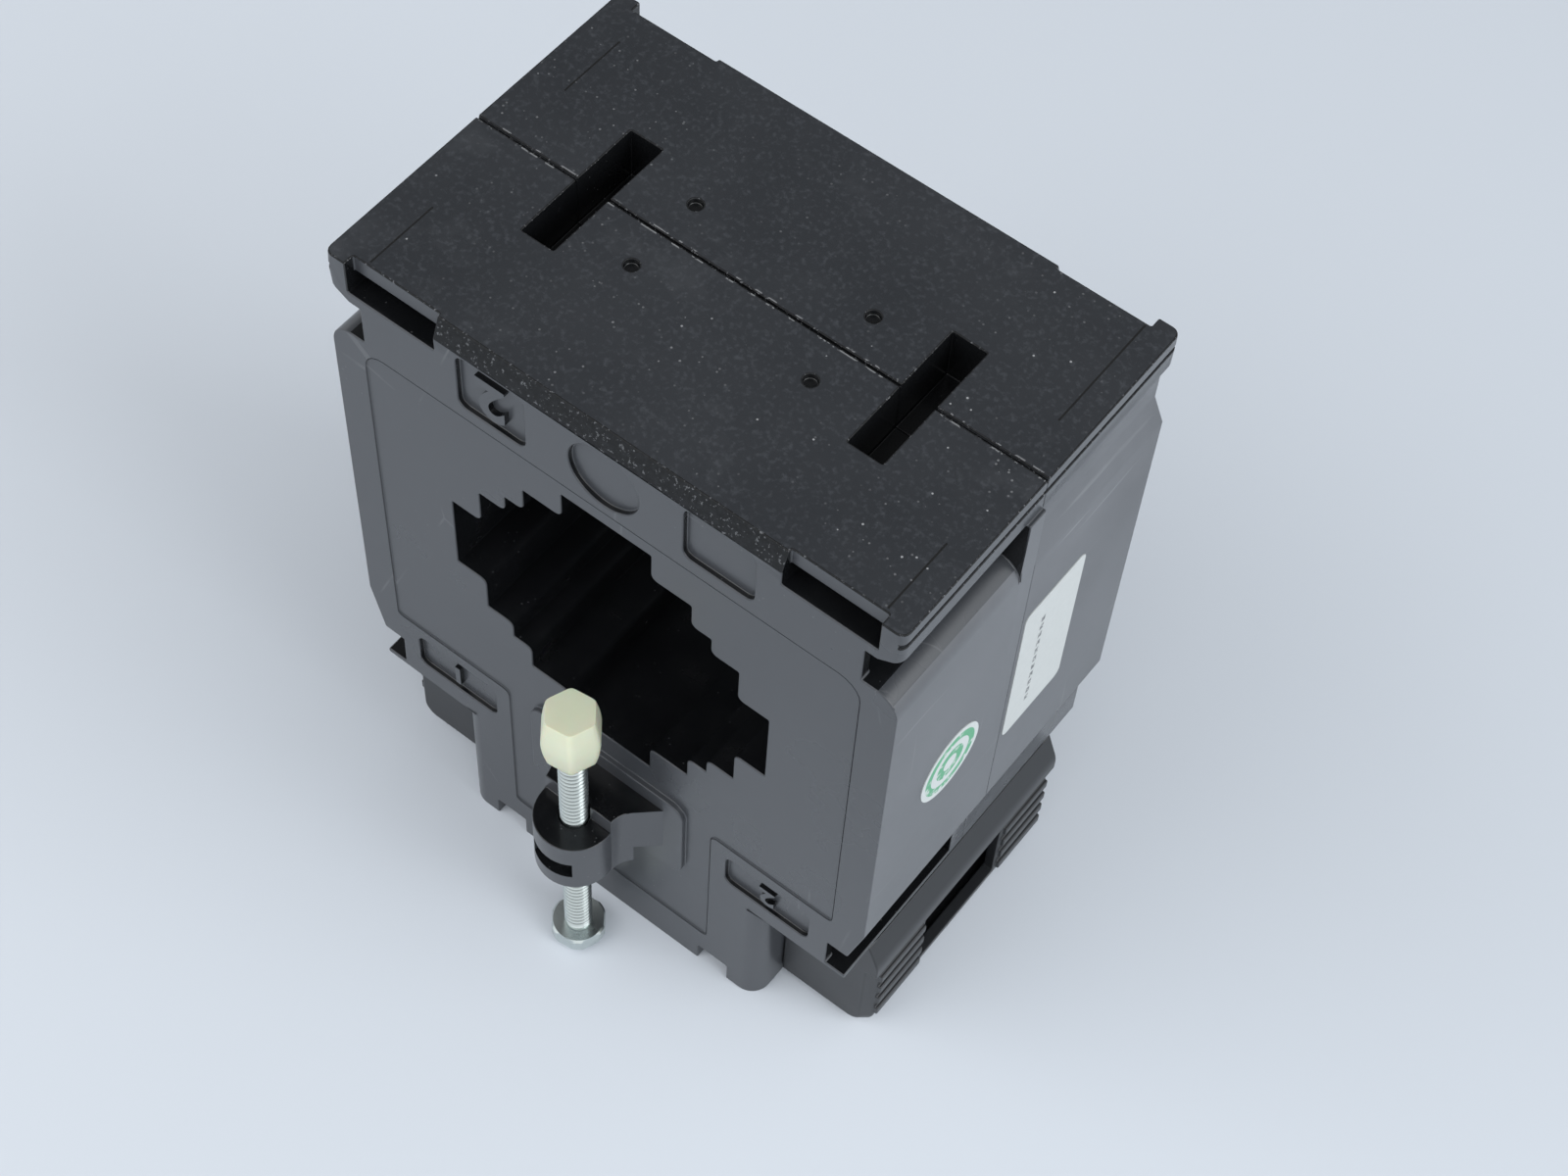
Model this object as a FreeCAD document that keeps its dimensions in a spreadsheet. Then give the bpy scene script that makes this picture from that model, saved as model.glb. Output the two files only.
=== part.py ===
"""Window-type current transformer with a moulded two-part housing.

The part stands on its centre block. X runs across the front face, Y runs
through the window from front to rear, and Z is up. The origin lies under the
middle of the part, on the surface that it stands on. All sizes are in mm.
"""
import FreeCAD, Part
import Sketcher
import math
import os

FRONT = -1
REAR = 1
LEFT = -1
RIGHT = 1

DIMENSIONS = [
    ("half_depth", 34.0, "seam to the front or rear face"),
    ("wall", 2.5, "moulded wall of the housing"),
    ("panel_wall", 3.2, "core room to the face of the side panel"),
    ("top_wall", 3.6, "core room to the top plate"),
    ("lip_inset", 0.7, "side panel to the edge of the top plate"),
    ("lip_low", 6.8, "top plate to the underside of the foot rail"),
    ("rail_groove_top", 2.5, "top plate to the groove in the foot rail"),
    ("rail_groove_width", 0.8, "width of the groove in the foot rail"),
    ("rail_groove_depth", 0.9, "depth of the groove in the foot rail"),
    ("rail_slope_width", 3.9, "sloping underside of the foot rail, across"),
    ("rail_slope_rise", 2.3, "sloping underside of the foot rail, up"),
    ("front_neck_inset", 6.8, "side panel to the neck of the front half"),
    ("rear_cove_inset", 2.2, "side panel to the neck of the rear half"),
    ("panel_drop", 17.0, "top plate to the upper edge of the side panel"),
    ("panel_bottom", 40.5, "lower edge of the side panel"),
    ("panel_top_round", 4.5, "upper corner of the side panel"),
    ("panel_crease", 51.0, "height below which the side panel slopes inward"),
    ("ledge_inset", 2.7, "side panel to the edge of the ledge over a cover"),
    ("ledge_top", 33.1, "upper face of the ledge"),
    ("ledge_low", 32.1, "lower face of the ledge"),
    ("block_half", 33.5, "centre to the side of the centre block"),
    ("block_edge_round", 3.8, "upright edges of the centre block"),
    ("block_floor", 7.0, "thickness of the centre block's foot"),
    ("front_plate", 2.0, "thickness of the front plate beside a pocket"),
    ("deep_pocket_depth", 11.5, "side panel to the bottom of a deep side pocket"),
    ("gusset_start", 8.0, "seam to the foot of the gusset"),
    ("gusset_inset", 3.5, "side panel to the head of the gusset"),
    ("seam_rib", 4.0, "thickness of the rib that runs beside the seam"),
    ("foot_pocket_inner", 32.0, "centre to the near side of a foot pocket"),
    ("foot_rail_width", 4.0, "foot pocket to the edge of the top plate"),
    ("foot_pocket_depth", 6.0, "foot pocket, from the face inward"),
    ("foot_pocket_skin", 3.4, "thickness of the plate over a foot pocket"),
    ("foot_pocket_mouth", 2.0, "face to the edge of the plate over a foot pocket"),
    ("slot_inner", 27.0, "centre to the near side of a fixing slot"),
    ("slot_outer", 33.2, "centre to the far side of a fixing slot"),
    ("slot_reach", 12.7, "seam to the end of a fixing slot"),
    ("slot_depth", 10.0, "depth of a fixing slot"),
    ("dimple_across", 16.5, "centre to a dimple in the top"),
    ("dimple_along", 7.5, "seam to a dimple in the top"),
    ("dimple_radius", 1.2, "radius of a dimple"),
    ("dimple_depth", 1.0, "depth of a dimple"),
    ("top_bevel_back", 1.4, "bevel of the top edge, measured on the top"),
    ("top_bevel_down", 3.9, "bevel of the top edge, measured on the face"),
    ("foot_notch_inner", 20.2, "centre to the near side of a foot notch"),
    ("foot_notch_outer", 26.7, "centre to the far side of a foot notch"),
    ("foot_notch_height", 4.7, "height of a foot notch"),
    ("foot_notch_depth", 5.0, "depth of a foot notch"),
    ("window_centre", 88.1, "height of the window's centre"),
    ("bar_long", 31.5, "half width of the widest bar space"),
    ("bar_long_share", 0.273, "thickness of the widest bar space, as a share of its width"),
    ("bar_middle_share", 0.8095, "middle bar space's width, as a share of the widest's"),
    ("bar_middle_half_share", 0.5175, "middle bar space's thickness, as a share of the widest"),
    ("bar_square_share", 0.6397, "square bar space's width, as a share of the widest's"),
    ("sleeve_wall", 2.0, "wall of the window's sleeve"),
    ("core_build", 8.8, "bore radius to the outer radius of the steel core"),
    ("room_side_share", 0.5586, "length of the core room's upright sides, as a share of its width"),
    ("room_lid_share", 0.2823, "length of the core room's level sides, as a share of its width"),
    ("case_wall", 0.8, "wall of the core's insulating case"),
    ("case_gap", 0.1, "play between the core and its case"),
    ("bore_gap", 2.6, "window's sleeve to the bore of the winding"),
    ("winding_build", 2.3, "steel core to the rim or bore of the winding"),
    ("winding_end", 3.5, "steel core to the end of the winding"),
    ("winding_turn", 300.0, "angle that the winding covers"),
    ("coil_gap", 0.4, "taped winding to the side of its room"),
    ("tape_thickness", 0.4, "thickness of the outer tape"),
    ("pad_thickness", 7.0, "thickness of a seating pad"),
    ("pad_gap", 1.0, "window's sleeve to a seating pad's eight-sided hole"),
    ("pad_inset", 3.8, "side of the room to the edge of a seating pad"),
    ("terminal_inset", 7.8, "edge of the ledge to a terminal screw"),
    ("tower_gap", 2.5, "centre block to the near side of a terminal tower"),
    ("tower_inset", 1.5, "edge of the ledge to the far side of a terminal tower"),
    ("tower_reach", 9.0, "seam to the end of a terminal tower"),
    ("bar_inner", 27.0, "centre to the inner end of a terminal bar"),
    ("bar_reach", 6.0, "half width of a terminal bar"),
    ("bar_top", 22.8, "upper face of a terminal bar"),
    ("bar_thickness", 2.5, "thickness of a terminal bar"),
    ("bar_slot_gap", 0.2, "play round a terminal bar in the block's wall"),
    ("screw_radius", 2.0, "radius of a terminal screw's shank"),
    ("screw_gap", 0.15, "play round a terminal screw's shank"),
    ("screw_length", 11.5, "length of a terminal screw's shank"),
    ("screw_head_radius", 3.5, "radius of a terminal screw's head"),
    ("screw_head_height", 2.6, "height of a terminal screw's head"),
    ("screw_slot_width", 1.0, "width of the slot in a terminal screw"),
    ("screw_slot_depth", 1.3, "depth of the slot in a terminal screw"),
    ("washer_half", 4.8, "half width of a clamping washer"),
    ("washer_thickness", 1.2, "thickness of a clamping washer"),
    ("washer_gap", 0.3, "gap over a clamping washer"),
    ("lead_radius", 0.9, "radius of a secondary lead"),
    ("lead_across", 29.6, "centre to a lead"),
    ("cover_low", 0.3, "underside of a terminal cover"),
    ("cover_gap", 0.3, "running gap round a terminal cover"),
    ("cover_inset", 7.2, "front or rear face to the end of a terminal cover"),
    ("cover_proud", 1.8, "edge of the ledge to the side of a terminal cover"),
    ("cover_brow", 0.5, "side of a terminal cover to its brow"),
    ("cover_brow_low", 22.6, "lower edge of the cover's brow"),
    ("cover_brow_round", 7.0, "rounding above the cover's brow"),
    ("cover_wall", 2.1, "wall of a terminal cover"),
    ("cover_foot_round", 4.5, "lower outer corner of a terminal cover"),
    ("cover_end_bevel", 1.8, "bevel on the upright outer edges of a terminal cover"),
    ("grip_reach", 12.0, "seam to the inner end of the grip ribs"),
    ("grip_pitch", 4.3, "spacing of the grip ribs"),
    ("grip_top", 19.4, "height of the highest grip rib"),
    ("grip_proud", 0.7, "height of a grip rib above the cover's side"),
    ("grip_width", 2.2, "width of a grip rib"),
    ("entry_top", 21.0, "upper edge of the wire entry"),
    ("entry_low", 5.5, "lower edge of the wire entry"),
    ("guide_drop", 5.0, "height of the rail that guides a cover"),
    ("guide_width", 1.8, "thickness of the rail that guides a cover"),
    ("eye_out", 9.0, "front or rear face to the clamp bolt's axis"),
    ("eye_radius", 7.1, "outer radius of the clamp bracket's eye"),
    ("eye_top", 43.7, "upper face of the eye"),
    ("eye_low", 30.5, "lower face of the eye"),
    ("bracket_top", 47.4, "upper face of the clamp bracket"),
    ("bracket_root_half", 13.4, "half width of the bracket at the face"),
    ("bracket_neck_half", 7.6, "half width of the bracket at its waist"),
    ("bracket_neck_out", 5.4, "front or rear face to the bracket's waist"),
    ("bracket_flare", 5.0, "rounding of the bracket's flank"),
    ("plinth_half", 16.6, "half width of the bracket's plinth"),
    ("plinth_top", 51.0, "upper edge of the bracket's plinth"),
    ("plinth_low", 28.6, "lower edge of the bracket's plinth"),
    ("plinth_thickness", 0.8, "thickness of the bracket's plinth"),
    ("plinth_round", 3.0, "corners of the bracket's plinth"),
    ("arch_rise", 35.2, "height of the arch under the bracket"),
    ("bolt_radius", 2.5, "radius of the clamp bolt"),
    ("bolt_gap", 0.25, "play round the clamp bolt in the eye"),
    ("thread_gap", 0.05, "play between the clamp bolt and its thread"),
    ("head_low", 1.0, "underside of the clamp bolt's head"),
    ("head_height", 3.5, "height of the clamp bolt's head"),
    ("head_flats", 8.0, "width across flats of the clamp bolt's head"),
    ("head_bevel", 0.5, "bevel on the clamp bolt's head"),
    ("bolt_top", 72.0, "height of the clamp bolt's tip"),
    ("nut_low", 34.3, "underside of the captive nut"),
    ("nut_height", 4.0, "height of the captive nut"),
    ("nut_flats", 8.0, "width across flats of the captive nut"),
    ("nut_gap", 0.15, "play round the captive nut"),
    ("cap_low", 62.0, "underside of the insulating cap"),
    ("cap_top", 77.4, "top of the insulating cap"),
    ("cap_flats", 9.7, "width across flats of the insulating cap"),
    ("cap_gap", 0.04, "play between the clamp bolt and its cap"),
    ("cap_bevel", 0.8, "bevel on the insulating cap"),
    ("label_near", 0.8, "seam to the near edge of the white label"),
    ("label_far", 17.0, "seam to the far edge of the white label"),
    ("label_drop", 19.1, "window's centre down to the lower edge of the white label"),
    ("label_rise", 16.9, "window's centre up to the upper edge of the white label"),
    ("label_round", 1.6, "corners of the white label"),
    ("sticker_thickness", 0.15, "thickness of a label"),
    ("seal_along", 15.7, "seam to the middle of the round sticker"),
    ("seal_drop", 4.1, "window's centre down to the middle of the round sticker"),
    ("seal_radius", 7.5, "radius of the round sticker"),
]

GRIP_RIBS = 4
HEAD_TURN = 8
NUT_TURN = 30
EIGHTH_TURN_SIDE = math.tan(math.pi / 8)

DOC = FreeCAD.newDocument("CurrentTransformer")


class Size:
    """A length with the expression that works it out from the sheet."""

    def __init__(self, value, text):
        self.value = float(value)
        self.text = text

    def __add__(self, other):
        other = as_size(other)
        return Size(self.value + other.value, f"({self.text} + {other.text})")

    def __sub__(self, other):
        other = as_size(other)
        return Size(self.value - other.value, f"({self.text} - {other.text})")

    def __mul__(self, factor):
        factor = as_size(factor)
        return Size(self.value * factor.value, f"({self.text} * {factor.text})")

    def __neg__(self):
        return self * -1

    def leg(self, other):
        """Other short side of a right triangle with this longest side."""
        value = math.sqrt(self.value ** 2 - other.value ** 2)
        return Size(value, f"sqrt(pow({self.text}; 2) - pow({other.text}; 2))")

    def corner_radius(self):
        """Radius to the corners of a hexagon with this width across flats."""
        return Size(self.value / math.sqrt(3), f"({self.text} / sqrt(3))")


def as_size(value):
    """A plain number becomes a length that has no sheet cell."""
    return value if isinstance(value, Size) else Size(value, str(value))


class Sheet:
    """The driving dimensions, each under its own name."""

    def __init__(self, rows):
        cells = DOC.addObject("Spreadsheet::Sheet", "Sizes")
        for number, (alias, value, note) in enumerate(rows, start=1):
            cells.set(f"A{number}", alias)
            cells.set(f"B{number}", str(value))
            cells.set(f"C{number}", note)
            cells.setAlias(f"B{number}", alias)
            setattr(self, alias, Size(value, f"Sizes.{alias}"))
        DOC.recompute()


D = Sheet(DIMENSIONS)
ZERO = as_size(0)
CLEAR = as_size(1)

D.bar_long_half = D.bar_long * D.bar_long_share
D.bar_middle = D.bar_long * D.bar_middle_share
D.bar_middle_half = D.bar_long * D.bar_middle_half_share
D.bar_square = D.bar_long * D.bar_square_share
D.winding_bore = D.bar_long + D.sleeve_wall + D.bore_gap
D.core_bore = D.winding_bore + D.winding_build
D.core_rim = D.core_bore + D.core_build
D.winding_rim = D.core_rim + D.winding_build
D.ring_room = D.winding_rim + D.tape_thickness + D.coil_gap
D.room_side = D.ring_room * D.room_side_share
D.room_lid = D.ring_room * D.room_lid_share
D.pad_bore = D.bar_long + D.sleeve_wall + D.pad_gap
D.pad_rim = D.ring_room - D.pad_inset
D.height = D.window_centre + D.ring_room + D.top_wall
D.panel_half = D.ring_room + D.panel_wall
D.panel_top = D.height - D.panel_drop
D.lip_half = D.panel_half - D.lip_inset
D.foot_pocket_outer = D.lip_half - D.foot_rail_width
D.front_neck_half = D.panel_half - D.front_neck_inset
D.deep_neck_half = D.panel_half - D.deep_pocket_depth
D.gusset_half = D.panel_half - D.gusset_inset
D.rear_cove_half = D.panel_half - D.rear_cove_inset
D.ledge_half = D.panel_half - D.ledge_inset
D.tower_inner = D.block_half + D.tower_gap
D.tower_outer = D.ledge_half - D.tower_inset
D.terminal_across = D.ledge_half - D.terminal_inset
D.cover_half = D.ledge_half + D.cover_proud
D.cover_brow_half = D.cover_half + D.cover_brow
D.cover_reach = D.half_depth - D.cover_inset
D.winding_half = D.half_depth - D.wall - D.pad_thickness
D.core_half = D.winding_half - D.winding_end
D.eye_along = D.half_depth + D.eye_out
D.bracket_neck_along = D.half_depth + D.bracket_neck_out


def bind(thing, name, size):
    """Tie one property of an object to the sheet."""
    thing.setExpression(name, as_size(size).text)


def new_body(label):
    """A body that becomes one node of the part."""
    body = DOC.addObject("PartDesign::Body", label)
    body.Label = label
    body.Placement = FreeCAD.Placement()
    return body


def new_sketch(body, name, plane, height=ZERO):
    """A sketch on one of the body's own origin planes."""
    sketch = body.newObject("Sketcher::SketchObject", name)
    origin = [item for item in body.Origin.OriginFeatures if item.Role == plane][0]
    sketch.AttachmentSupport = [(origin, "")]
    sketch.MapMode = "FlatFace"
    bind(sketch, "AttachmentOffset.Base.z", height)
    return sketch


def pin_point(sketch, line, end, point):
    """Hold one end of a line at its two sheet distances from the origin."""
    for direction, size in zip(("DistanceX", "DistanceY"), point):
        rule = Sketcher.Constraint(direction, -1, 1, line, end, size.value)
        bind(sketch, f"Constraints[{sketch.addConstraint(rule)}]", size)


def draw_loop(sketch, points):
    """A closed outline of straight lines through the points."""
    points = [(as_size(across), as_size(up)) for across, up in points]
    spots = [FreeCAD.Vector(across.value, up.value, 0) for across, up in points]
    first = sketch.GeometryCount
    for number, spot in enumerate(spots):
        sketch.addGeometry(Part.LineSegment(spot, spots[(number + 1) % len(spots)]))
    for number, point in enumerate(points):
        following = first + (number + 1) % len(points)
        sketch.addConstraint(Sketcher.Constraint("Coincident", first + number, 2, following, 1))
        pin_point(sketch, first + number, 1, point)


def draw_box(sketch, near, far, low, high):
    """A rectangle between two sizes across and two sizes up."""
    draw_loop(sketch, [(near, low), (far, low), (far, high), (near, high)])


def draw_circle(sketch, across, up, radius):
    """A circle held by its centre and its radius."""
    across, up, radius = as_size(across), as_size(up), as_size(radius)
    centre = FreeCAD.Vector(across.value, up.value, 0)
    circle = sketch.addGeometry(Part.Circle(centre, FreeCAD.Vector(0, 0, 1), radius.value))
    pin_point(sketch, circle, 3, (across, up))
    rule = sketch.addConstraint(Sketcher.Constraint("Radius", circle, radius.value))
    bind(sketch, f"Constraints[{rule}]", radius)


def pad(body, sketch, length, against=False, midplane=False):
    """Add the sketch's outline as a prism of the given length."""
    feature = body.newObject("PartDesign::Pad", sketch.Name + "Pad")
    feature.Profile = sketch
    feature.Reversed = against
    feature.Midplane = midplane
    bind(feature, "Length", length)
    return feature


def pocket(body, sketch, length, against=False, midplane=False):
    """Cut the sketch's outline to the given depth."""
    feature = body.newObject("PartDesign::Pocket", sketch.Name + "Cut")
    feature.Profile = sketch
    feature.Reversed = against
    feature.Midplane = midplane
    bind(feature, "Length", length)
    return feature


def near(value, size):
    """True where a coordinate lies on a size from the sheet."""
    return abs(value - as_size(size).value) < 0.01


def edges_along(feature, axis, spots):
    """Names of the straight edges along an axis that pass through the spots.

    A spot gives the other two coordinates, and None stands for any value.
    """
    DOC.recompute()
    others = [number for number in range(3) if number != axis]
    names = []
    for number, edge in enumerate(feature.Shape.Edges, start=1):
        ends = [vertex.Point for vertex in edge.Vertexes]
        if len(ends) != 2 or edge.Curve.TypeId != "Part::GeomLine":
            continue
        if any(abs(ends[0][other] - ends[1][other]) > 0.001 for other in others):
            continue
        for spot in spots:
            pairs = zip(others, spot)
            if all(size is None or near(ends[0][other], size) for other, size in pairs):
                names.append(f"Edge{number}")
    return names


def edges_at_height(feature, height):
    """Names of the edges that lie level at a height of the body's own."""
    DOC.recompute()
    return [
        f"Edge{number}" for number, edge in enumerate(feature.Shape.Edges, start=1)
        if all(near(vertex.Point.z, height) for vertex in edge.Vertexes)
    ]


def round_edges(body, name, radius, edges):
    """Fillet the named edges of the body's last feature."""
    base = body.Tip
    feature = body.newObject("PartDesign::Fillet", name)
    feature.Base = (base, edges)
    bind(feature, "Radius", radius)
    return feature


def bevel_edges(body, name, size, edges):
    """Chamfer the named edges of the body's last feature."""
    base = body.Tip
    feature = body.newObject("PartDesign::Chamfer", name)
    feature.Base = (base, edges)
    bind(feature, "Size", size)
    return feature


def both_sides(points):
    """A right-hand half outline, from top to bottom, closed by its mirror image."""
    return points + [(-across, up) for across, up in reversed(points)]


def stepped_outline(extra):
    """The window's stepped cross in one loop, made larger all round by extra."""
    steps = [
        (D.bar_long + extra, D.bar_long_half + extra),
        (D.bar_middle + extra, D.bar_middle_half + extra),
        (D.bar_square + extra, D.bar_square + extra),
        (D.bar_middle_half + extra, D.bar_middle + extra),
        (D.bar_long_half + extra, D.bar_long + extra),
    ]
    quarter = [steps[0]]
    for outer, inner in zip(steps, steps[1:]):
        quarter += [(inner[0], outer[1]), inner]
    top = quarter + [(-across, up) for across, up in reversed(quarter)]
    loop = top + [(across, -up) for across, up in reversed(top)]
    return [(across, D.window_centre + up) for across, up in loop]


def eight_sided(half, side, lid):
    """An eight-sided loop about the origin, from its half width and half lengths of sides."""
    top = [(half, side), (lid, half), (-lid, half), (-half, side)]
    return top + [(across, -up) for across, up in reversed(top)]


def shell_outline(side):
    """Front elevation of a housing half: necked in front, smoothly coved behind."""
    neck = D.front_neck_half if side == FRONT else D.rear_cove_half
    rail_low = D.height - D.lip_low
    rail_groove = D.height - D.rail_groove_top
    slope_half = D.lip_half - D.rail_slope_width
    if slope_half.value < neck.value:
        slope_half = neck
    right = [
        (D.lip_half, D.height),
        (D.lip_half, rail_groove),
        (D.lip_half - D.rail_groove_depth, rail_groove),
        (D.lip_half - D.rail_groove_depth, rail_groove - D.rail_groove_width),
        (D.lip_half, rail_groove - D.rail_groove_width),
        (D.lip_half, rail_low),
        (slope_half, rail_low - D.rail_slope_rise),
    ]
    if slope_half is not neck:
        right.append((neck, rail_low - D.rail_slope_rise))
    right.append((neck, D.panel_top))
    if side == FRONT:
        right += [
            (D.panel_half, D.panel_top),
            (D.panel_half, D.panel_crease),
            (D.ledge_half, D.panel_bottom),
            (neck, D.panel_bottom),
            (neck, D.ledge_top),
            (D.ledge_half, D.ledge_top),
        ]
    else:
        right += [
            (D.panel_half, D.panel_top - D.panel_top_round),
            (D.panel_half, D.panel_crease),
            (D.ledge_half, D.panel_bottom),
        ]
    right += [
        (D.ledge_half, D.ledge_low),
        (D.block_half, D.ledge_low),
        (D.block_half, ZERO),
    ]
    return both_sides(right)


def shell_shape(body, side):
    """The outer form of one housing half, with its rounded corners."""
    outline = new_sketch(body, body.Label + "_outline", "XZ_Plane")
    draw_loop(outline, shell_outline(side))
    solid = pad(body, outline, D.half_depth, against=side == REAR)
    if side == FRONT:
        spots = [(D.panel_half, D.panel_top), (-D.panel_half, D.panel_top)]
        edges = edges_along(solid, 1, spots)
        solid = round_edges(body, body.Label + "_panel_corners", D.panel_top_round, edges)
    spots = [(D.block_half, D.half_depth * side), (-D.block_half, D.half_depth * side)]
    edges = edges_along(solid, 2, spots)
    return round_edges(body, body.Label + "_block_edges", D.block_edge_round, edges)


def seam_ribs(body):
    """Ribs that close the side grooves of the front half beside the seam."""
    ribs = new_sketch(body, body.Label + "_seam_ribs", "XZ_Plane")
    root = D.front_neck_half - CLEAR
    for hand in (LEFT, RIGHT):
        top_low = D.panel_top - D.panel_top_round
        draw_box(ribs, root * hand, D.panel_half * hand, top_low, D.height - D.lip_low)
        foot_high = D.panel_bottom + CLEAR
        draw_box(ribs, root * hand, D.ledge_half * hand, D.ledge_top, foot_high)
    pad(body, ribs, D.seam_rib)


def deep_side_pockets(body):
    """Pockets behind the front plate's neck, each closed by a slanting gusset."""
    rail_root = D.height - D.lip_low - D.rail_slope_rise
    levels = (("upper", D.panel_top, rail_root), ("lower", D.ledge_top, D.panel_bottom))
    for name, low, high in levels:
        cut = new_sketch(body, f"{body.Label}_{name}_side_pockets", "XY_Plane", low)
        for hand in (LEFT, RIGHT):
            draw_loop(cut, [
                (D.deep_neck_half * hand, D.front_plate - D.half_depth),
                (D.deep_neck_half * hand, -D.gusset_start),
                (D.gusset_half * hand, -D.seam_rib),
                (D.panel_half * hand + CLEAR * hand, -D.seam_rib),
                (D.panel_half * hand + CLEAR * hand, D.front_plate - D.half_depth),
            ])
        pocket(body, cut, high - low, against=True)


def face_pockets(body, side):
    """Foot pockets under the top plate and notches in the foot of the block."""
    face = D.half_depth * -side
    feet = new_sketch(body, body.Label + "_foot_pockets", "XZ_Plane", face)
    mouths = new_sketch(body, body.Label + "_foot_pocket_mouths", "XZ_Plane", face)
    notches = new_sketch(body, body.Label + "_foot_notches", "XZ_Plane", face)
    for hand in (LEFT, RIGHT):
        low = D.height - D.lip_low
        high = D.height - D.foot_pocket_skin
        sides = (D.foot_pocket_inner * hand, D.foot_pocket_outer * hand)
        draw_box(feet, sides[0], sides[1], low, high)
        draw_box(mouths, sides[0], sides[1], low, D.height + CLEAR)
        near_side = D.foot_notch_inner * hand
        far_side = D.foot_notch_outer * hand
        draw_box(notches, near_side, far_side, -CLEAR, D.foot_notch_height)
    pocket(body, feet, D.foot_pocket_depth, against=side == REAR)
    pocket(body, mouths, D.foot_pocket_mouth, against=side == REAR)
    pocket(body, notches, D.foot_notch_depth, against=side == REAR)


def top_details(body, side):
    """Fixing slots and dimples in the top, and the bevel along its edge."""
    slots = new_sketch(body, body.Label + "_fixing_slots", "XY_Plane", D.height)
    dimples = new_sketch(body, body.Label + "_dimples", "XY_Plane", D.height)
    for hand in (LEFT, RIGHT):
        end = D.slot_reach * side
        draw_box(slots, D.slot_inner * hand, D.slot_outer * hand, ZERO, end)
        spot = (D.dimple_across * hand, D.dimple_along * side)
        draw_circle(dimples, spot[0], spot[1], D.dimple_radius)
    pocket(body, slots, D.slot_depth)
    pocket(body, dimples, D.dimple_depth)
    bevel = new_sketch(body, body.Label + "_top_bevel", "YZ_Plane")
    draw_loop(bevel, [
        ((D.half_depth - D.top_bevel_back) * side, D.height),
        (D.half_depth * side, D.height - D.top_bevel_down),
        ((D.half_depth + CLEAR) * side, D.height - D.top_bevel_down),
        ((D.half_depth + CLEAR) * side, D.height),
    ])
    pocket(body, bevel, D.foot_pocket_inner * 2, midplane=True)


def shell_rooms(body, side):
    """The window, the room for the wound core, and the room in the block."""
    inward = side == FRONT
    window = new_sketch(body, body.Label + "_window", "XZ_Plane")
    draw_loop(window, stepped_outline(ZERO))
    pocket(body, window, D.half_depth, against=inward)
    ring = new_sketch(body, body.Label + "_core_room", "XZ_Plane")
    sides = eight_sided(D.ring_room, D.room_side, D.room_lid)
    draw_loop(ring, [(across, D.window_centre + up) for across, up in sides])
    draw_loop(ring, stepped_outline(D.sleeve_wall))
    pocket(body, ring, D.half_depth - D.wall, against=inward)
    block = new_sketch(body, body.Label + "_block_room", "XZ_Plane")
    room_half = D.block_half - D.wall
    room_top = D.window_centre - D.bar_long - D.sleeve_wall - CLEAR
    draw_box(block, -room_half, room_half, D.block_floor, room_top)
    pocket(body, block, D.half_depth - D.wall, against=inward)


def terminal_seats(body, side):
    """Towers over the terminal bars, slots for the bars, and cover rails."""
    towers = new_sketch(body, body.Label + "_terminal_towers", "XY_Plane", D.ledge_low)
    rails = new_sketch(body, body.Label + "_cover_rails", "XY_Plane", D.ledge_low)
    bores = new_sketch(body, body.Label + "_screw_bores", "XY_Plane", D.bar_top)
    slot_low = D.bar_top - D.bar_thickness - D.bar_slot_gap
    slots = new_sketch(body, body.Label + "_bar_slots", "XY_Plane", slot_low)
    rail_far = D.cover_reach - D.cover_wall - D.cover_gap
    rail_near = rail_far - D.guide_width
    for hand in (LEFT, RIGHT):
        tower = (D.tower_inner * hand, D.tower_outer * hand)
        draw_box(towers, tower[0], tower[1], ZERO, D.tower_reach * side)
        draw_box(rails, tower[0], tower[1], rail_near * side, rail_far * side)
        draw_circle(bores, D.terminal_across * hand, ZERO, D.screw_radius + D.screw_gap)
        wall = ((D.block_half - D.wall - CLEAR) * hand, (D.block_half + CLEAR) * hand)
        draw_box(slots, wall[0], wall[1], ZERO, (D.bar_reach + D.bar_slot_gap) * side)
    pad(body, towers, D.ledge_low - D.bar_top, against=True)
    pad(body, rails, D.guide_drop, against=True)
    shank_top = screw_seat() + D.screw_length
    pocket(body, bores, shank_top + CLEAR - D.bar_top, against=True)
    pocket(body, slots, D.bar_thickness + D.bar_slot_gap * 2, against=True)


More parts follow.
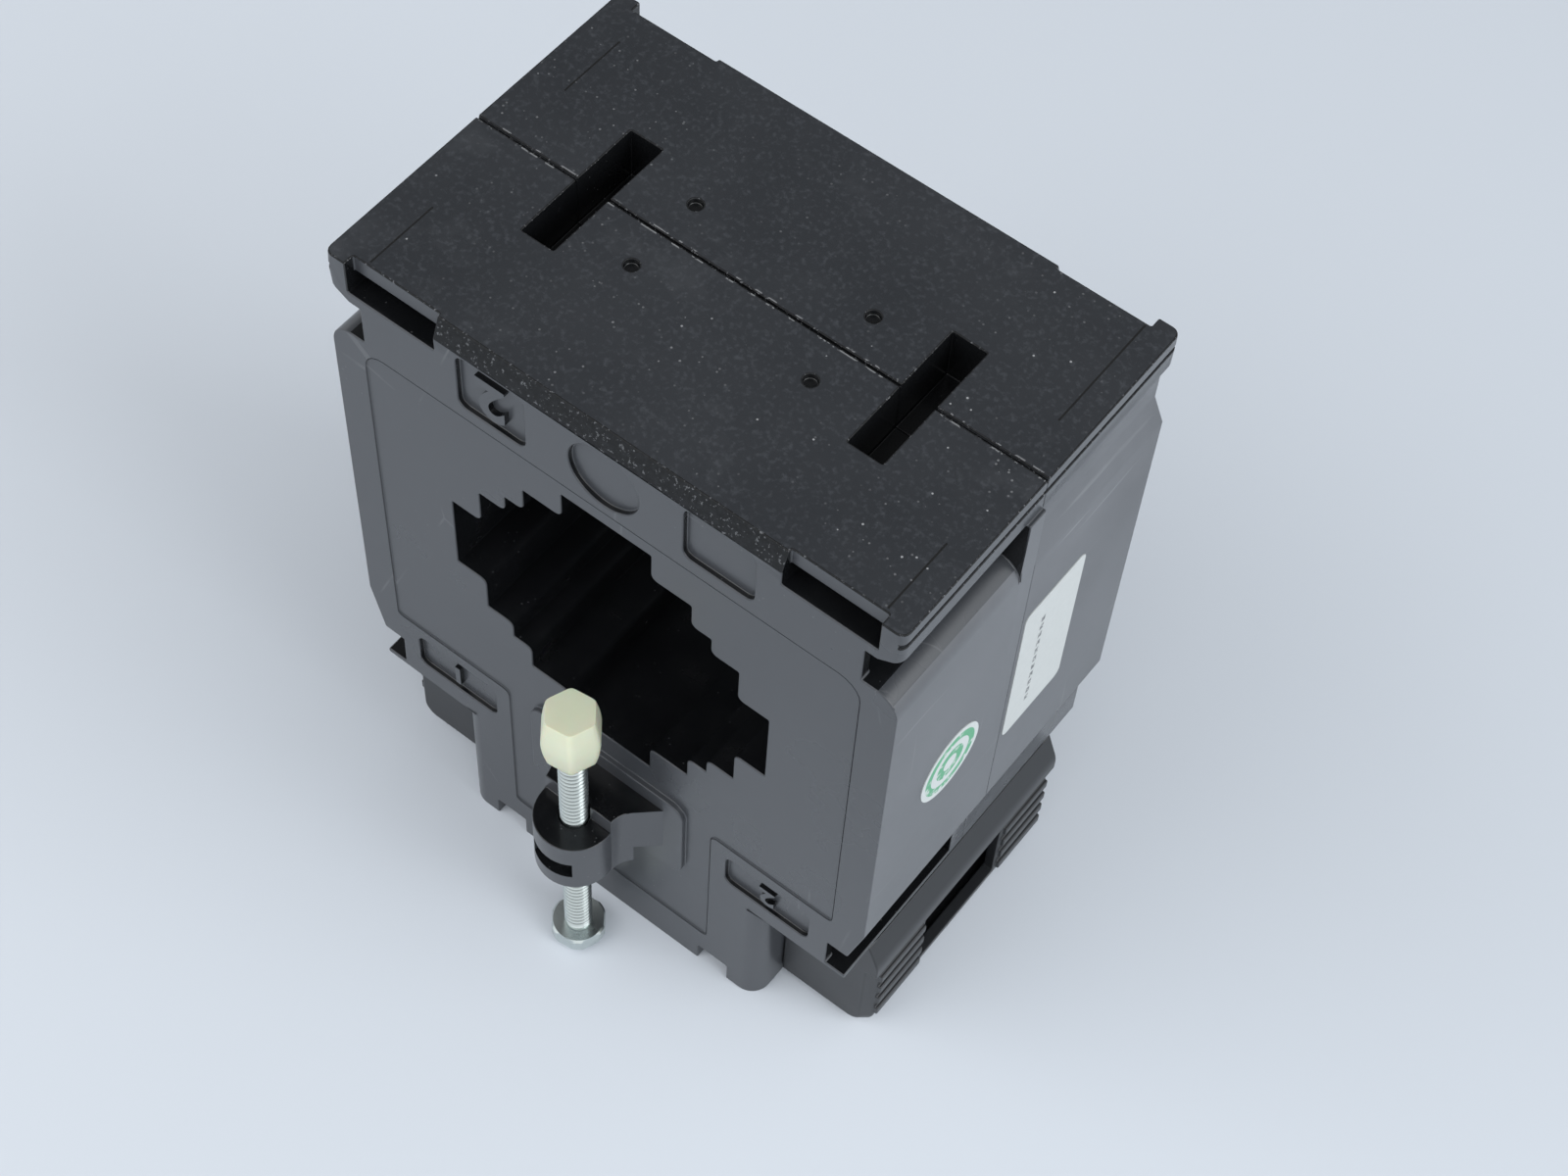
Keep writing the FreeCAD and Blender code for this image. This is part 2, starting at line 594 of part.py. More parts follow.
def clamp_bracket(body, side):
    """Bracket with an eye for the clamp bolt and a slot for its nut."""
    face = D.half_depth * -side
    plinth = new_sketch(body, body.Label + "_plinth", "XZ_Plane", face)
    draw_box(plinth, -D.plinth_half, D.plinth_half, D.plinth_low, D.plinth_top)
    solid = pad(body, plinth, D.plinth_thickness, against=side == REAR)
    spots = [(x, z) for x in (-D.plinth_half, D.plinth_half) for z in (D.plinth_low, D.plinth_top)]
    edges = edges_along(solid, 1, spots)
    round_edges(body, body.Label + "_plinth_corners", D.plinth_round, edges)

    axis = D.eye_along * side
    eye = new_sketch(body, body.Label + "_eye", "XY_Plane", D.eye_low)
    draw_circle(eye, ZERO, axis, D.eye_radius)
    pad(body, eye, D.eye_top - D.eye_low)

    waist = D.bracket_neck_along * side
    flank = new_sketch(body, body.Label + "_flank", "XY_Plane", D.eye_low)
    draw_loop(flank, both_sides([
        (D.bracket_root_half, D.half_depth * side),
        (D.bracket_neck_half, waist),
        (D.eye_radius, axis - CLEAR * side),
    ]))
    solid = pad(body, flank, D.bracket_top - D.eye_low)
    edges = edges_along(solid, 2, [(D.bracket_neck_half, waist), (-D.bracket_neck_half, waist)])
    round_edges(body, body.Label + "_flank_flare", D.bracket_flare, edges)

    seat_end = D.eye_along - D.nut_flats.corner_radius() - D.nut_gap
    arch = new_sketch(body, body.Label + "_arch", "YZ_Plane")
    foot = (D.half_depth + D.plinth_thickness) * side
    draw_box(arch, foot, seat_end * side, D.plinth_low, D.arch_rise)
    solid = pocket(body, arch, D.plinth_half * 2 + CLEAR * 2, midplane=True)

    nut_half = D.nut_flats * 0.5 + D.nut_gap
    nut = new_sketch(body, body.Label + "_nut_slot", "XY_Plane", D.nut_low - D.nut_gap)
    outside = (D.eye_along + D.eye_radius + CLEAR) * side
    draw_box(nut, -nut_half, nut_half, seat_end * side, outside)
    pocket(body, nut, D.nut_height + D.nut_gap * 2, against=True)

    bore = new_sketch(body, body.Label + "_bolt_bore", "XY_Plane", D.eye_low)
    draw_circle(bore, ZERO, axis, D.bolt_radius + D.bolt_gap)
    pocket(body, bore, D.bracket_top - D.eye_low, against=True)


def housing_half(label, side):
    """One half of the housing, from its face to the seam."""
    body = new_body(label)
    shell_shape(body, side)
    if side == FRONT:
        seam_ribs(body)
        deep_side_pockets(body)
    face_pockets(body, side)
    top_details(body, side)
    shell_rooms(body, side)
    terminal_seats(body, side)
    clamp_bracket(body, side)
    return body


def revolved(label, loops, turn=as_size(360)):
    """A ring about the window's axis, from outlines of along and radius."""
    body = new_body(label)
    bind(body, "Placement.Base.z", D.window_centre)
    section = new_sketch(body, label + "_section", "YZ_Plane")
    for loop in loops:
        draw_loop(section, loop)
    ring = body.newObject("PartDesign::Revolution", label + "_ring")
    ring.Profile = section
    ring.ReferenceAxis = (section, ["H_Axis"])
    ring.Midplane = True
    bind(ring, "Angle", turn)
    return body


def ring_section(end, other_end, bore, rim):
    """Section of a plain ring between two ends and two radii."""
    return [(end, bore), (other_end, bore), (other_end, rim), (end, rim)]


def core_case():
    """The core's insulating case: a channel, and a flat ring that closes it."""
    bore = D.core_bore - D.case_gap
    rim = D.core_rim + D.case_gap
    inside = D.core_half + D.case_gap
    outside = inside + D.case_wall
    channel = [
        (inside, bore),
        (-inside, bore),
        (-inside, rim),
        (inside, rim),
        (inside, rim + D.case_wall),
        (-outside, rim + D.case_wall),
        (-outside, bore - D.case_wall),
        (inside, bore - D.case_wall),
    ]
    lid = ring_section(inside, outside, bore - D.case_wall, rim + D.case_wall)
    return [revolved("core_case_front", [channel]), revolved("core_case_rear", [lid])]


def seating_pad(label, side):
    """Foam frame between the winding's end and the housing's face."""
    body = new_body(label)
    bind(body, "Placement.Base.z", D.window_centre)
    frame = new_sketch(body, label + "_frame", "XZ_Plane", D.winding_half * -side)
    for half in (D.pad_rim, D.pad_bore):
        half_side = half * EIGHTH_TURN_SIDE
        draw_loop(frame, eight_sided(half, half_side, half_side))
    pad(body, frame, D.pad_thickness, against=side == REAR)
    return body


def winding():
    """The secondary winding round the cased core, open below for its ends."""
    play = D.case_gap * 2 + D.case_wall
    end = D.core_half + play
    outside = ring_section(-D.winding_half, D.winding_half, D.winding_bore, D.winding_rim)
    inside = ring_section(-end, end, D.core_bore - play, D.core_rim + play)
    return revolved("secondary_winding", [outside, inside], D.winding_turn)


def wound_core():
    """The core, its case, the winding, its tape and the pads that seat it."""
    core = ring_section(-D.core_half, D.core_half, D.core_bore, D.core_rim)
    tape_rim = D.winding_rim + D.tape_thickness
    tape = ring_section(-D.winding_half, D.winding_half, D.winding_rim, tape_rim)
    nodes = [revolved("toroid_core", [core])] + core_case()
    nodes += [winding(), revolved("winding_tape", [tape])]
    nodes += [seating_pad("core_pad_front", FRONT), seating_pad("core_pad_rear", REAR)]
    return nodes


def lead(label, hand):
    """Lead from the winding's rim down to the inner end of its terminal bar."""
    body = new_body(label)
    wire = new_sketch(body, label + "_section", "XY_Plane", D.bar_top)
    draw_circle(wire, D.lead_across * hand, ZERO, D.lead_radius)
    rim = D.winding_rim + D.tape_thickness
    drop = rim.leg(D.lead_across - D.lead_radius) + D.case_gap
    pad(body, wire, D.window_centre - drop - D.bar_top)
    return body


def screw_seat():
    """Height of the face between a clamping washer and its screw's head."""
    return D.bar_top - D.bar_thickness - D.washer_gap - D.washer_thickness


def terminal_bar(label, hand):
    """Flat bar that joins the lead to the terminal screw."""
    body = new_body(label)
    flat = new_sketch(body, label + "_flat", "XY_Plane", D.bar_top)
    draw_box(flat, D.bar_inner * hand, D.tower_outer * hand, -D.bar_reach, D.bar_reach)
    draw_circle(flat, D.terminal_across * hand, ZERO, D.screw_radius + D.thread_gap)
    pad(body, flat, D.bar_thickness, against=True)
    return body


def terminal_washer(label, hand):
    """Square washer that presses a wire against the terminal bar."""
    body = new_body(label)
    bind(body, "Placement.Base.x", D.terminal_across * hand)
    bind(body, "Placement.Base.z", screw_seat())
    plate = new_sketch(body, label + "_plate", "XY_Plane")
    draw_box(plate, -D.washer_half, D.washer_half, -D.washer_half, D.washer_half)
    draw_circle(plate, ZERO, ZERO, D.screw_radius + D.screw_gap)
    pad(body, plate, D.washer_thickness)
    return body


def terminal_screw(label, hand):
    """Slotted screw with its head below the clamping washer."""
    body = new_body(label)
    bind(body, "Placement.Base.x", D.terminal_across * hand)
    bind(body, "Placement.Base.z", screw_seat())
    head = new_sketch(body, label + "_head", "XY_Plane")
    draw_circle(head, ZERO, ZERO, D.screw_head_radius)
    pad(body, head, D.screw_head_height, against=True)
    shank = new_sketch(body, label + "_shank", "XY_Plane")
    draw_circle(shank, ZERO, ZERO, D.screw_radius)
    pad(body, shank, D.screw_length)
    slot = new_sketch(body, label + "_slot", "XY_Plane", -D.screw_head_height)
    half = D.screw_slot_width * 0.5
    reach = D.screw_head_radius + CLEAR
    draw_box(slot, -reach, reach, -half, half)
    pocket(body, slot, D.screw_slot_depth, against=True)
    return body


def cover_grips(body, hand):
    """Grip ribs on both ends of a cover's side."""
    grips = new_sketch(body, body.Label + "_grips", "YZ_Plane", D.cover_half * hand)
    for end in (FRONT, REAR):
        for number in range(GRIP_RIBS):
            middle = D.grip_top - D.grip_pitch * number
            low = middle - D.grip_width * 0.5
            far = (D.cover_reach - D.cover_end_bevel) * end
            draw_box(grips, D.grip_reach * end, far, low, low + D.grip_width)
    return pad(body, grips, D.grip_proud, against=hand == LEFT)


def terminal_cover(label, hand):
    """Sliding hood over one terminal, open above and towards the block."""
    body = new_body(label)
    top = D.ledge_low - D.cover_gap
    inner = D.block_half + D.cover_gap
    brow_high = D.cover_brow_low + D.cover_brow_round * 0.5
    outline = new_sketch(body, label + "_outline", "XZ_Plane")
    draw_loop(outline, [
        (inner * hand, top),
        (D.ledge_half * hand, top),
        (D.cover_brow_half * hand, brow_high),
        (D.cover_brow_half * hand, D.cover_brow_low),
        (D.cover_half * hand, D.cover_brow_low),
        (D.cover_half * hand, D.cover_low),
        (inner * hand, D.cover_low),
    ])
    solid = pad(body, outline, D.cover_reach * 2, midplane=True)
    edges = edges_along(solid, 1, [(D.cover_brow_half * hand, brow_high)])
    solid = round_edges(body, label + "_brow", D.cover_brow_round, edges)
    edges = edges_along(solid, 1, [(D.cover_half * hand, D.cover_low)])
    solid = round_edges(body, label + "_foot", D.cover_foot_round, edges)
    ends = [(D.cover_half * hand, D.cover_reach * end) for end in (FRONT, REAR)]
    bevel_edges(body, label + "_ends", D.cover_end_bevel, edges_along(solid, 2, ends))

    room = new_sketch(body, label + "_room", "XZ_Plane")
    side_wall = (D.cover_half - D.cover_wall) * hand
    floor = D.cover_low + D.cover_wall
    draw_box(room, (inner - CLEAR) * hand, side_wall, floor, top + CLEAR)
    pocket(body, room, (D.cover_reach - D.cover_wall) * 2, midplane=True)
    cover_grips(body, hand)
    entry = new_sketch(body, label + "_wire_entry", "YZ_Plane", side_wall - CLEAR * hand)
    half = D.grip_reach - D.grip_proud
    draw_box(entry, -half, half, D.entry_low, D.entry_top)
    pocket(body, entry, D.cover_wall + CLEAR * 2, against=hand == RIGHT)
    return body


def draw_hexagon(sketch, flats, turn):
    """A hexagon about the origin, with its first corner at the given angle."""
    corner = flats.corner_radius()
    angles = [math.radians(turn + 60 * number) for number in range(6)]
    draw_loop(sketch, [(corner * math.cos(angle), corner * math.sin(angle)) for angle in angles])


def clamp_bolt(label, side):
    """Hexagon bolt that runs up through the eye, with its head below."""
    body = new_body(label)
    bind(body, "Placement.Base.y", D.eye_along * side)
    bind(body, "Placement.Base.z", D.head_low)
    head = new_sketch(body, label + "_head", "XY_Plane")
    draw_hexagon(head, D.head_flats, HEAD_TURN)
    solid = pad(body, head, D.head_height)
    bevel_edges(body, label + "_head_bevel", D.head_bevel, edges_at_height(solid, ZERO))
    shank = new_sketch(body, label + "_shank", "XY_Plane", D.head_height)
    draw_circle(shank, ZERO, ZERO, D.bolt_radius)
    pad(body, shank, D.bolt_top - D.head_low - D.head_height)
    return body


def clamp_nut(label, side):
    """Nut that the eye holds in its slot, with its bore for the clamp bolt."""
    body = new_body(label)
    bind(body, "Placement.Base.y", D.eye_along * side)
    bind(body, "Placement.Base.z", D.nut_low)
    hexagon = new_sketch(body, label + "_hexagon", "XY_Plane")
    draw_hexagon(hexagon, D.nut_flats, NUT_TURN)
    draw_circle(hexagon, ZERO, ZERO, D.bolt_radius + D.thread_gap)
    pad(body, hexagon, D.nut_height)
    return body


def clamp_cap(label, side):
    """Insulating cap on the tip of the clamp bolt."""
    body = new_body(label)
    bind(body, "Placement.Base.y", D.eye_along * side)
    bind(body, "Placement.Base.z", D.cap_low)
    hexagon = new_sketch(body, label + "_hexagon", "XY_Plane")
    draw_hexagon(hexagon, D.cap_flats, HEAD_TURN)
    length = D.cap_top - D.cap_low
    solid = pad(body, hexagon, length)
    bevel_edges(body, label + "_bevel", D.cap_bevel, edges_at_height(solid, length))
    bore = new_sketch(body, label + "_bore", "XY_Plane")
    draw_circle(bore, ZERO, ZERO, D.bolt_radius + D.cap_gap)
    pocket(body, bore, D.bolt_top - D.cap_low + D.cap_gap, against=True)
    return body


def white_label():
    """Rounded label on the right side panel, behind the seam."""
    body = new_body("white_label")
    plate = new_sketch(body, "white_label_plate", "YZ_Plane", D.panel_half)
    low = D.window_centre - D.label_drop
    high = D.window_centre + D.label_rise
    draw_box(plate, D.label_near, D.label_far, low, high)
    solid = pad(body, plate, D.sticker_thickness)
    sides = (D.label_near, D.label_far)
    spots = [(y, z) for y in sides for z in (low, high)]
    round_edges(body, "white_label_corners", D.label_round, edges_along(solid, 0, spots))
    return body


def round_sticker():
    """Round sticker on the right side panel, in front of the seam."""
    body = new_body("round_sticker")
    disc = new_sketch(body, "round_sticker_disc", "YZ_Plane", D.panel_half)
    draw_circle(disc, -D.seal_along, D.window_centre - D.seal_drop, D.seal_radius)
    pad(body, disc, D.sticker_thickness)
    return body


def build():
    """Every node of the part, in the order of assembly."""
    nodes = [housing_half("front_shell", FRONT), housing_half("rear_shell", REAR)]
    nodes += wound_core()
    for name, hand in (("s1", LEFT), ("s2", RIGHT)):
        nodes.append(lead("lead_" + name, hand))
        nodes.append(terminal_bar("terminal_bar_" + name, hand))
        nodes.append(terminal_washer("terminal_washer_" + name, hand))
        nodes.append(terminal_screw("terminal_screw_" + name, hand))
        nodes.append(terminal_cover("terminal_cover_" + name, hand))
    for name, side in (("front", FRONT), ("rear", REAR)):
        nodes.append(clamp_bolt("clamp_bolt_" + name, side))
        nodes.append(clamp_nut("clamp_nut_" + name, side))
        nodes.append(clamp_cap("clamp_cap_" + name, side))
    nodes += [white_label(), round_sticker()]
    return nodes


def check(nodes):
    """Stop where a feature failed or a node isn't one sound solid."""
    DOC.recompute()
    for item in DOC.Objects:
        if "Invalid" in item.State or "Error" in item.State:
            raise RuntimeError(f"{item.Label} failed: {item.State}")
    for node in nodes:
        shape = node.Shape
        if shape.isNull() or not shape.isValid() or len(shape.Solids) != 1:
            raise RuntimeError(f"{node.Label} isn't one sound solid")


def write(nodes):
    """One STEP file for each node."""
    os.makedirs("parts", exist_ok=True)
    for node in nodes:
        node.Shape.exportStep(f"parts/{node.Label}.step")
        print(node.Label, round(node.Shape.Volume, 1))


NODES = build()
check(NODES)
write(NODES)
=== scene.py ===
"""Looks of a window-type current transformer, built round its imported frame."""
import math

import bmesh
import bpy
from mathutils import Euler, Matrix, Vector


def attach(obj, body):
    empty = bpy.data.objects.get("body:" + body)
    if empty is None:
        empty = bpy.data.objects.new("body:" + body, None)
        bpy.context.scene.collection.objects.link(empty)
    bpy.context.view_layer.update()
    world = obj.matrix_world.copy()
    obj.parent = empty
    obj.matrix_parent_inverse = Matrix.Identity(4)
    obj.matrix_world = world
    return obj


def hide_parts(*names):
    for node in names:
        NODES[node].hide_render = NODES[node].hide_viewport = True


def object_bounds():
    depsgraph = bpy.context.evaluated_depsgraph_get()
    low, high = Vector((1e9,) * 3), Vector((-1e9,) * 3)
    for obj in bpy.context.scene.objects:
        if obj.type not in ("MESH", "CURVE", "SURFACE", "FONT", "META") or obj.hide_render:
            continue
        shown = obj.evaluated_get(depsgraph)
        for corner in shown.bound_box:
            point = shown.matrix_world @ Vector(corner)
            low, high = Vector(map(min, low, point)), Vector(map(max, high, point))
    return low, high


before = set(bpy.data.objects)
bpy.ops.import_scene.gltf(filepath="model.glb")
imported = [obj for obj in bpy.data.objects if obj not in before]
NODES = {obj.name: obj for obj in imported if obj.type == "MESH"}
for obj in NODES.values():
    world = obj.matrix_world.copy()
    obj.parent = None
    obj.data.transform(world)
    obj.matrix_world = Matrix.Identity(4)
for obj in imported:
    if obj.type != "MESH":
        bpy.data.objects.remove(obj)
CAD_LOW, CAD_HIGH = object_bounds()

MM = 0.001
ENDS = (("front", -1), ("rear", 1))
SIDES = (("s1", -1), ("s2", 1))

# Places on the housing, in mm
FACE_Y = 34.0
TOP_Z = 142.0
WINDOW_Z = 88.1
WINDOW_REACH = 33.0
BOLT_Y = 43.0
PANEL_X = 53.5

# Bracket of each face and the rim of its eye, in mm
BRACKET_X = 14.5
BRACKET_Z = (29.5, 50.0)
EYE_X = 8.5
EYE_OUT = 3.0
EYE_RIM_Z = 43.5

# Camera, solved from the straight edges of the housing in the photograph
CAMERA_PLACE_MM = (151.804, -211.449, 466.013)
CAMERA_TURN_DEG = (32.7728, -2.4696, 37.7273)
CAMERA_LENS_MM = 65.197
CAMERA_SENSOR_MM = 36.0

# Moulded marks of the front face: left, right, low and high edge, in mm
MARK_DEPTH = 1.0
MARK_ROUND = 1.7
TOP_PLATES = ((-27.9, -14.9, 125.6, 137.6), (14.6, 27.6, 125.9, 137.9))
LOW_PLATES = ((-42.7, -25.2, 36.9, 45.5), (25.2, 42.7, 36.5, 45.0))
RING_PLACE = (-0.1, 131.4)
RING_RADIUS = 6.6
RING_STEPS = 48

# Plain numerals on the plates: text, height in mm and plate
NUMERALS = (("2", 8.6, TOP_PLATES[0]), ("1", 5.0, LOW_PLATES[0]), ("2", 5.0, LOW_PLATES[1]))
NUMERAL_CAPITAL = 0.72
NUMERAL_BOLD = 0.045

# Shallow field inside the border of each face
FIELD_DEPTH = 0.25
FIELD_CORNERS = (
    (-47.0, 122.9, 4.0), (-47.0, 48.55, 1.0), (-21.87, 48.55, 1.5), (-21.87, 10.8, 1.0),
    (21.87, 10.8, 1.0), (21.87, 48.55, 1.5), (47.0, 48.55, 1.0), (47.0, 122.9, 4.0),
)
PLINTH_CORNERS = ((-16.55, 50.95, 3.0), (-16.55, 28.65, 3.0), (16.55, 28.65, 3.0), (16.55, 50.95, 3.0))

# Points of the housing that stand into the window: across and up from its centre
WINDOW_TIPS = ((25.5, 8.6), (20.15, 16.3), (16.3, 20.15), (8.6, 25.5))
TIP_ROUND = 1.3

# Upright corners of the top plate
EAR_X = 52.8
EAR_ROUND = 1.5
EAR_LOW = 134.0

# Rounding: steps of an arc, steps of a rounded corner, the angle from which an edge is sharp, widths in mm
ARC_STEPS = 5
CORNER_STEPS = 4
SHARP_DEG = 36.0
SHELL_BEVEL = 0.24
COVER_BEVEL = 0.3

# Scribed lines on the top: across, and from one place along Y to another
SCRIBES = ((48.0, -31.4, -17.7), (48.0, 9.3, 31.6), (-46.0, -31.4, -17.7), (-46.0, 12.3, 25.6))
SCRIBE_WIDTH = 0.34
SEAM_WIDTH = 0.42
SEAM_DEPTH = 0.7

# Where the finishes of the housing change, in mm: across and along from the middle, and up
TOP_LOW = 137.5
SLOT_X, SLOT_Y, SLOT_LOW = 34.0, 13.5, 131.5
MARKS_X = 43.5
LOW_MARKS_Z = (36.0, 46.0)
TOP_MARKS_LOW = 124.0
FOOT_POCKET_X, FOOT_POCKET_Y, FOOT_POCKET_Z = (31.0, 48.9), 27.5, (131.0, 138.7)
GROOVE_X, GROOVE_Z = 46.0, (138.3, 139.7)
PANEL_INNER_X = 50.5
SIDE_POCKET_X, SIDE_POCKET_Z = 38.0, (32.9, 135.3)
SCUFFED_SHEEN_Z = (40.0, 135.0)
BLOCK_X, BLOCK_Z = 21.0, (5.0, 36.0)

# Clamp bolts, nuts and caps, in mm: rows of height, half width across flats and corner radius
BOLT_RADIUS = 2.5
ROD_Z = (4.2, 72.0)
THREAD_LOW = 5.2
THREAD_PITCH = 1.2
THREAD_DEPTH = 0.45
THREAD_STEPS = 6
ROUND_STEPS = 48
HEXAGON_STEPS = 72
HEAD_TURN_DEG = 8.0
HEAD_ROWS = ((1.0, 4.5, 4.2), (1.5, 4.75, 4.98), (4.0, 4.75, 4.98), (4.44, 4.6, 4.6))
NUT_TURN_DEG = 30.0
NUT_ROWS = ((34.3, 4.0, 4.05), (34.7, 4.0, 4.7), (37.9, 4.0, 4.7), (38.3, 4.0, 4.05))
CAP_ENDS = ((65.0, 3.9, 4.3), (77.4, 4.0, 4.4))
CAP_LOW, CAP_LENGTH = 65.2, 12.0
CAP_FLATS, CAP_CORNER = 4.85, 5.42
CAP_WAIST, CAP_CURVE = 0.84, 1.6
CAP_STEPS = 16
# Heights over which the cap's painted shade fades out upward
CAP_PAINTED_SHADE_Z = (64.0, 75.0)

# Label and sticker on the right side panel, in mm
INK_Y, INK_HALF_WIDTH = 6.6, 0.5
INK_Z, INK_REACH = 87.0, 13.0
INK_PER_METRE = 420.0
STICKER_PLACE = (PANEL_X, -15.7, 84.0)
STICKER_RINGS = ((5.7, 0.75), (2.6, 0.9))

# Room: direction of its dim part, where that begins and ends, and its strength outside and inside
DIM_SKY = (-0.32, 0.45, 0.835)
DIM_EDGE = (0.60, 0.84)
SKY_STRENGTH = (1.15, 0.18)
FLOOR_SIZE = 12.0
LAMP_AIM = (0.0, 0.0, 0.07)


def set_view():
    """Camera of the photograph and a plain view transform."""
    data = bpy.data.cameras.new("camera")
    data.lens = CAMERA_LENS_MM
    data.sensor_width = CAMERA_SENSOR_MM
    data.clip_start, data.clip_end = 0.01, 20.0
    camera = bpy.data.objects.new("camera", data)
    camera.location = Vector(CAMERA_PLACE_MM) * MM
    camera.rotation_euler = Euler([math.radians(turn) for turn in CAMERA_TURN_DEG], "XYZ")
    bpy.context.scene.collection.objects.link(camera)
    bpy.context.scene.camera = camera
    bpy.context.scene.view_settings.view_transform = "Standard"


class Shader:
    """A node tree with short calls for the nodes that the materials use."""

    def __init__(self, name):
        self.material = bpy.data.materials.new(name)
        self.material.use_nodes = True
        self.tree = self.material.node_tree
        self.tree.nodes.clear()
        self.output = self.add("ShaderNodeOutputMaterial")
        self.surface = self.add("ShaderNodeBsdfPrincipled")
        self.link(self.surface.outputs[0], self.output.inputs["Surface"])

    def add(self, kind, **settings):
        node = self.tree.nodes.new(kind)
        for name, value in settings.items():
            setattr(node, name, value)
        return node

    def link(self, source, target):
        self.tree.links.new(source, target)

    def feed(self, target, value):
        """Connect an output to an input, or write a plain value into it."""
        if isinstance(value, bpy.types.NodeSocket):
            self.link(value, target)
        else:
            target.default_value = value

    def place(self):
        """Position on the object in metres."""
        return self.add("ShaderNodeTexCoord").outputs["Object"]

    def noise(self, scale, detail=2.0, rough=0.5, vector=None):
        node = self.add("ShaderNodeTexNoise")
        node.inputs["Scale"].default_value = scale
        node.inputs["Detail"].default_value = detail
        node.inputs["Roughness"].default_value = rough
        self.link(vector or self.place(), node.inputs["Vector"])
        return node.outputs["Fac"]

    def cells(self, scale, output="Distance", vector=None, feature="F1"):
        node = self.add("ShaderNodeTexVoronoi", feature=feature)
        node.inputs["Scale"].default_value = scale
        self.link(vector or self.place(), node.inputs["Vector"])
        return node.outputs[output]

    def math(self, operation, first, second=0.0, third=0.0):
        node = self.add("ShaderNodeMath", operation=operation)
        self.feed(node.inputs[0], first)
        self.feed(node.inputs[1], second)
        if operation == "COMPARE":
            self.feed(node.inputs[2], third)
        return node.outputs[0]

    def times(self, *factors):
        result = factors[0]
        for factor in factors[1:]:
            result = self.math("MULTIPLY", result, factor)
        return result

    def either(self, *values):
        result = values[0]
        for value in values[1:]:
            result = self.math("MAXIMUM", result, value)
        return result

    def remap(self, value, low, high, to_low=0.0, to_high=1.0):
        node = self.add("ShaderNodeMapRange")
        self.feed(node.inputs["Value"], value)
        node.inputs["From Min"].default_value = low
        node.inputs["From Max"].default_value = high
        node.inputs["To Min"].default_value = to_low
        node.inputs["To Max"].default_value = to_high
        return node.outputs["Result"]

    def mix(self, factor, first, second):
        node = self.add("ShaderNodeMix", data_type="RGBA")
        self.feed(node.inputs[0], factor)
        self.feed(node.inputs[6], first)
        self.feed(node.inputs[7], second)
        return node.outputs[2]

    def stretch(self, scales, turn=(0.0, 0.0, 0.0)):
        """Coordinates turned, then stretched by a factor along each axis."""
        node = self.add("ShaderNodeMapping")
        node.inputs["Scale"].default_value = scales
        node.inputs["Rotation"].default_value = turn
        self.link(self.place(), node.inputs["Vector"])
        return node.outputs["Vector"]

    def axes(self, vector=None):
        node = self.add("ShaderNodeSeparateXYZ")
        self.link(vector or self.place(), node.inputs[0])
        return node.outputs

    def bump(self, height, strength, distance_mm):
        node = self.add("ShaderNodeBump")
        node.inputs["Strength"].default_value = strength
        node.inputs["Distance"].default_value = distance_mm * MM
        self.feed(node.inputs["Height"], height)
        return node.outputs["Normal"]

    def set(self, **values):
        for name, value in values.items():
            self.feed(self.surface.inputs[name.replace("_", " ").title().replace("Ior", "IOR")], value)


def grey(level, blue=1.1):
    """A near-neutral colour, a little bluer for a higher blue."""
    return (level, level * (1 + 0.35 * (blue - 1)), level * blue, 1.0)


def satin_plastic():
    """Charcoal moulding of the upright faces: silky, with faint flow marks and hairline scratches."""
    shade = Shader("housing_satin")
    cloud = shade.noise(30.0, 4.0, 0.6)
    base = shade.mix(cloud, grey(0.040, 1.22), grey(0.052, 1.2))
    drawn_out = shade.stretch((1.0, 9.0, 0.6), (0.5, 0.2, 0.3))
    hair = shade.cells(26.0, vector=drawn_out, feature="DISTANCE_TO_EDGE")
    hair = shade.math("LESS_THAN", hair, 0.004)
    hair = shade.times(hair, shade.remap(shade.noise(60.0, 3.0), 0.52, 0.62))
    fleck = shade.math("LESS_THAN", shade.cells(420.0), 0.055)
    fleck = shade.times(fleck, shade.remap(shade.noise(24.0, 2.0), 0.5, 0.6))
    pale = shade.either(shade.times(hair, 0.10), shade.times(fleck, 0.22))
    shade.set(base_color=shade.mix(pale, base, grey(0.42, 1.04)))
    shade.set(roughness=shade.remap(cloud, 0.3, 0.7, 0.25, 0.33))
    shade.set(normal=shade.bump(shade.noise(1700.0, 3.0, 0.55), 0.16, 0.02))
    return shade.material


def scuffed_sheen_plastic():
    """The side panels: the same moulding, made paler by painted sheen of the bright floor, with real fine
    scratches along and across.
    """
    shade = Shader("housing_scuffed_painted_sheen")
    cloud = shade.noise(22.0, 5.0, 0.65)
    # Painted sheen: the pale base stands for the bright floor's reflection on the side panels; the lines
    # mixed in below are real scratches.
    base = shade.mix(shade.remap(cloud, 0.3, 0.7), grey(0.075, 1.16), grey(0.125, 1.14))
    streak = shade.noise(300.0, 3.0, 0.6, vector=shade.stretch((1.0, 0.05, 1.0), (0.25, 0.0, 0.0)))
    cross = shade.noise(420.0, 3.0, 0.6, vector=shade.stretch((1.0, 1.0, 0.04), (-0.35, 0.0, 0.0)))
    lines = shade.either(shade.remap(streak, 0.66, 0.74), shade.remap(cross, 0.70, 0.76))
    shade.set(base_color=shade.mix(shade.times(lines, 0.35), base, grey(0.34, 1.06)))
    shade.set(roughness=shade.remap(cloud, 0.3, 0.7, 0.34, 0.46))
    shade.set(normal=shade.bump(lines, 0.2, 0.02))
    return shade.material


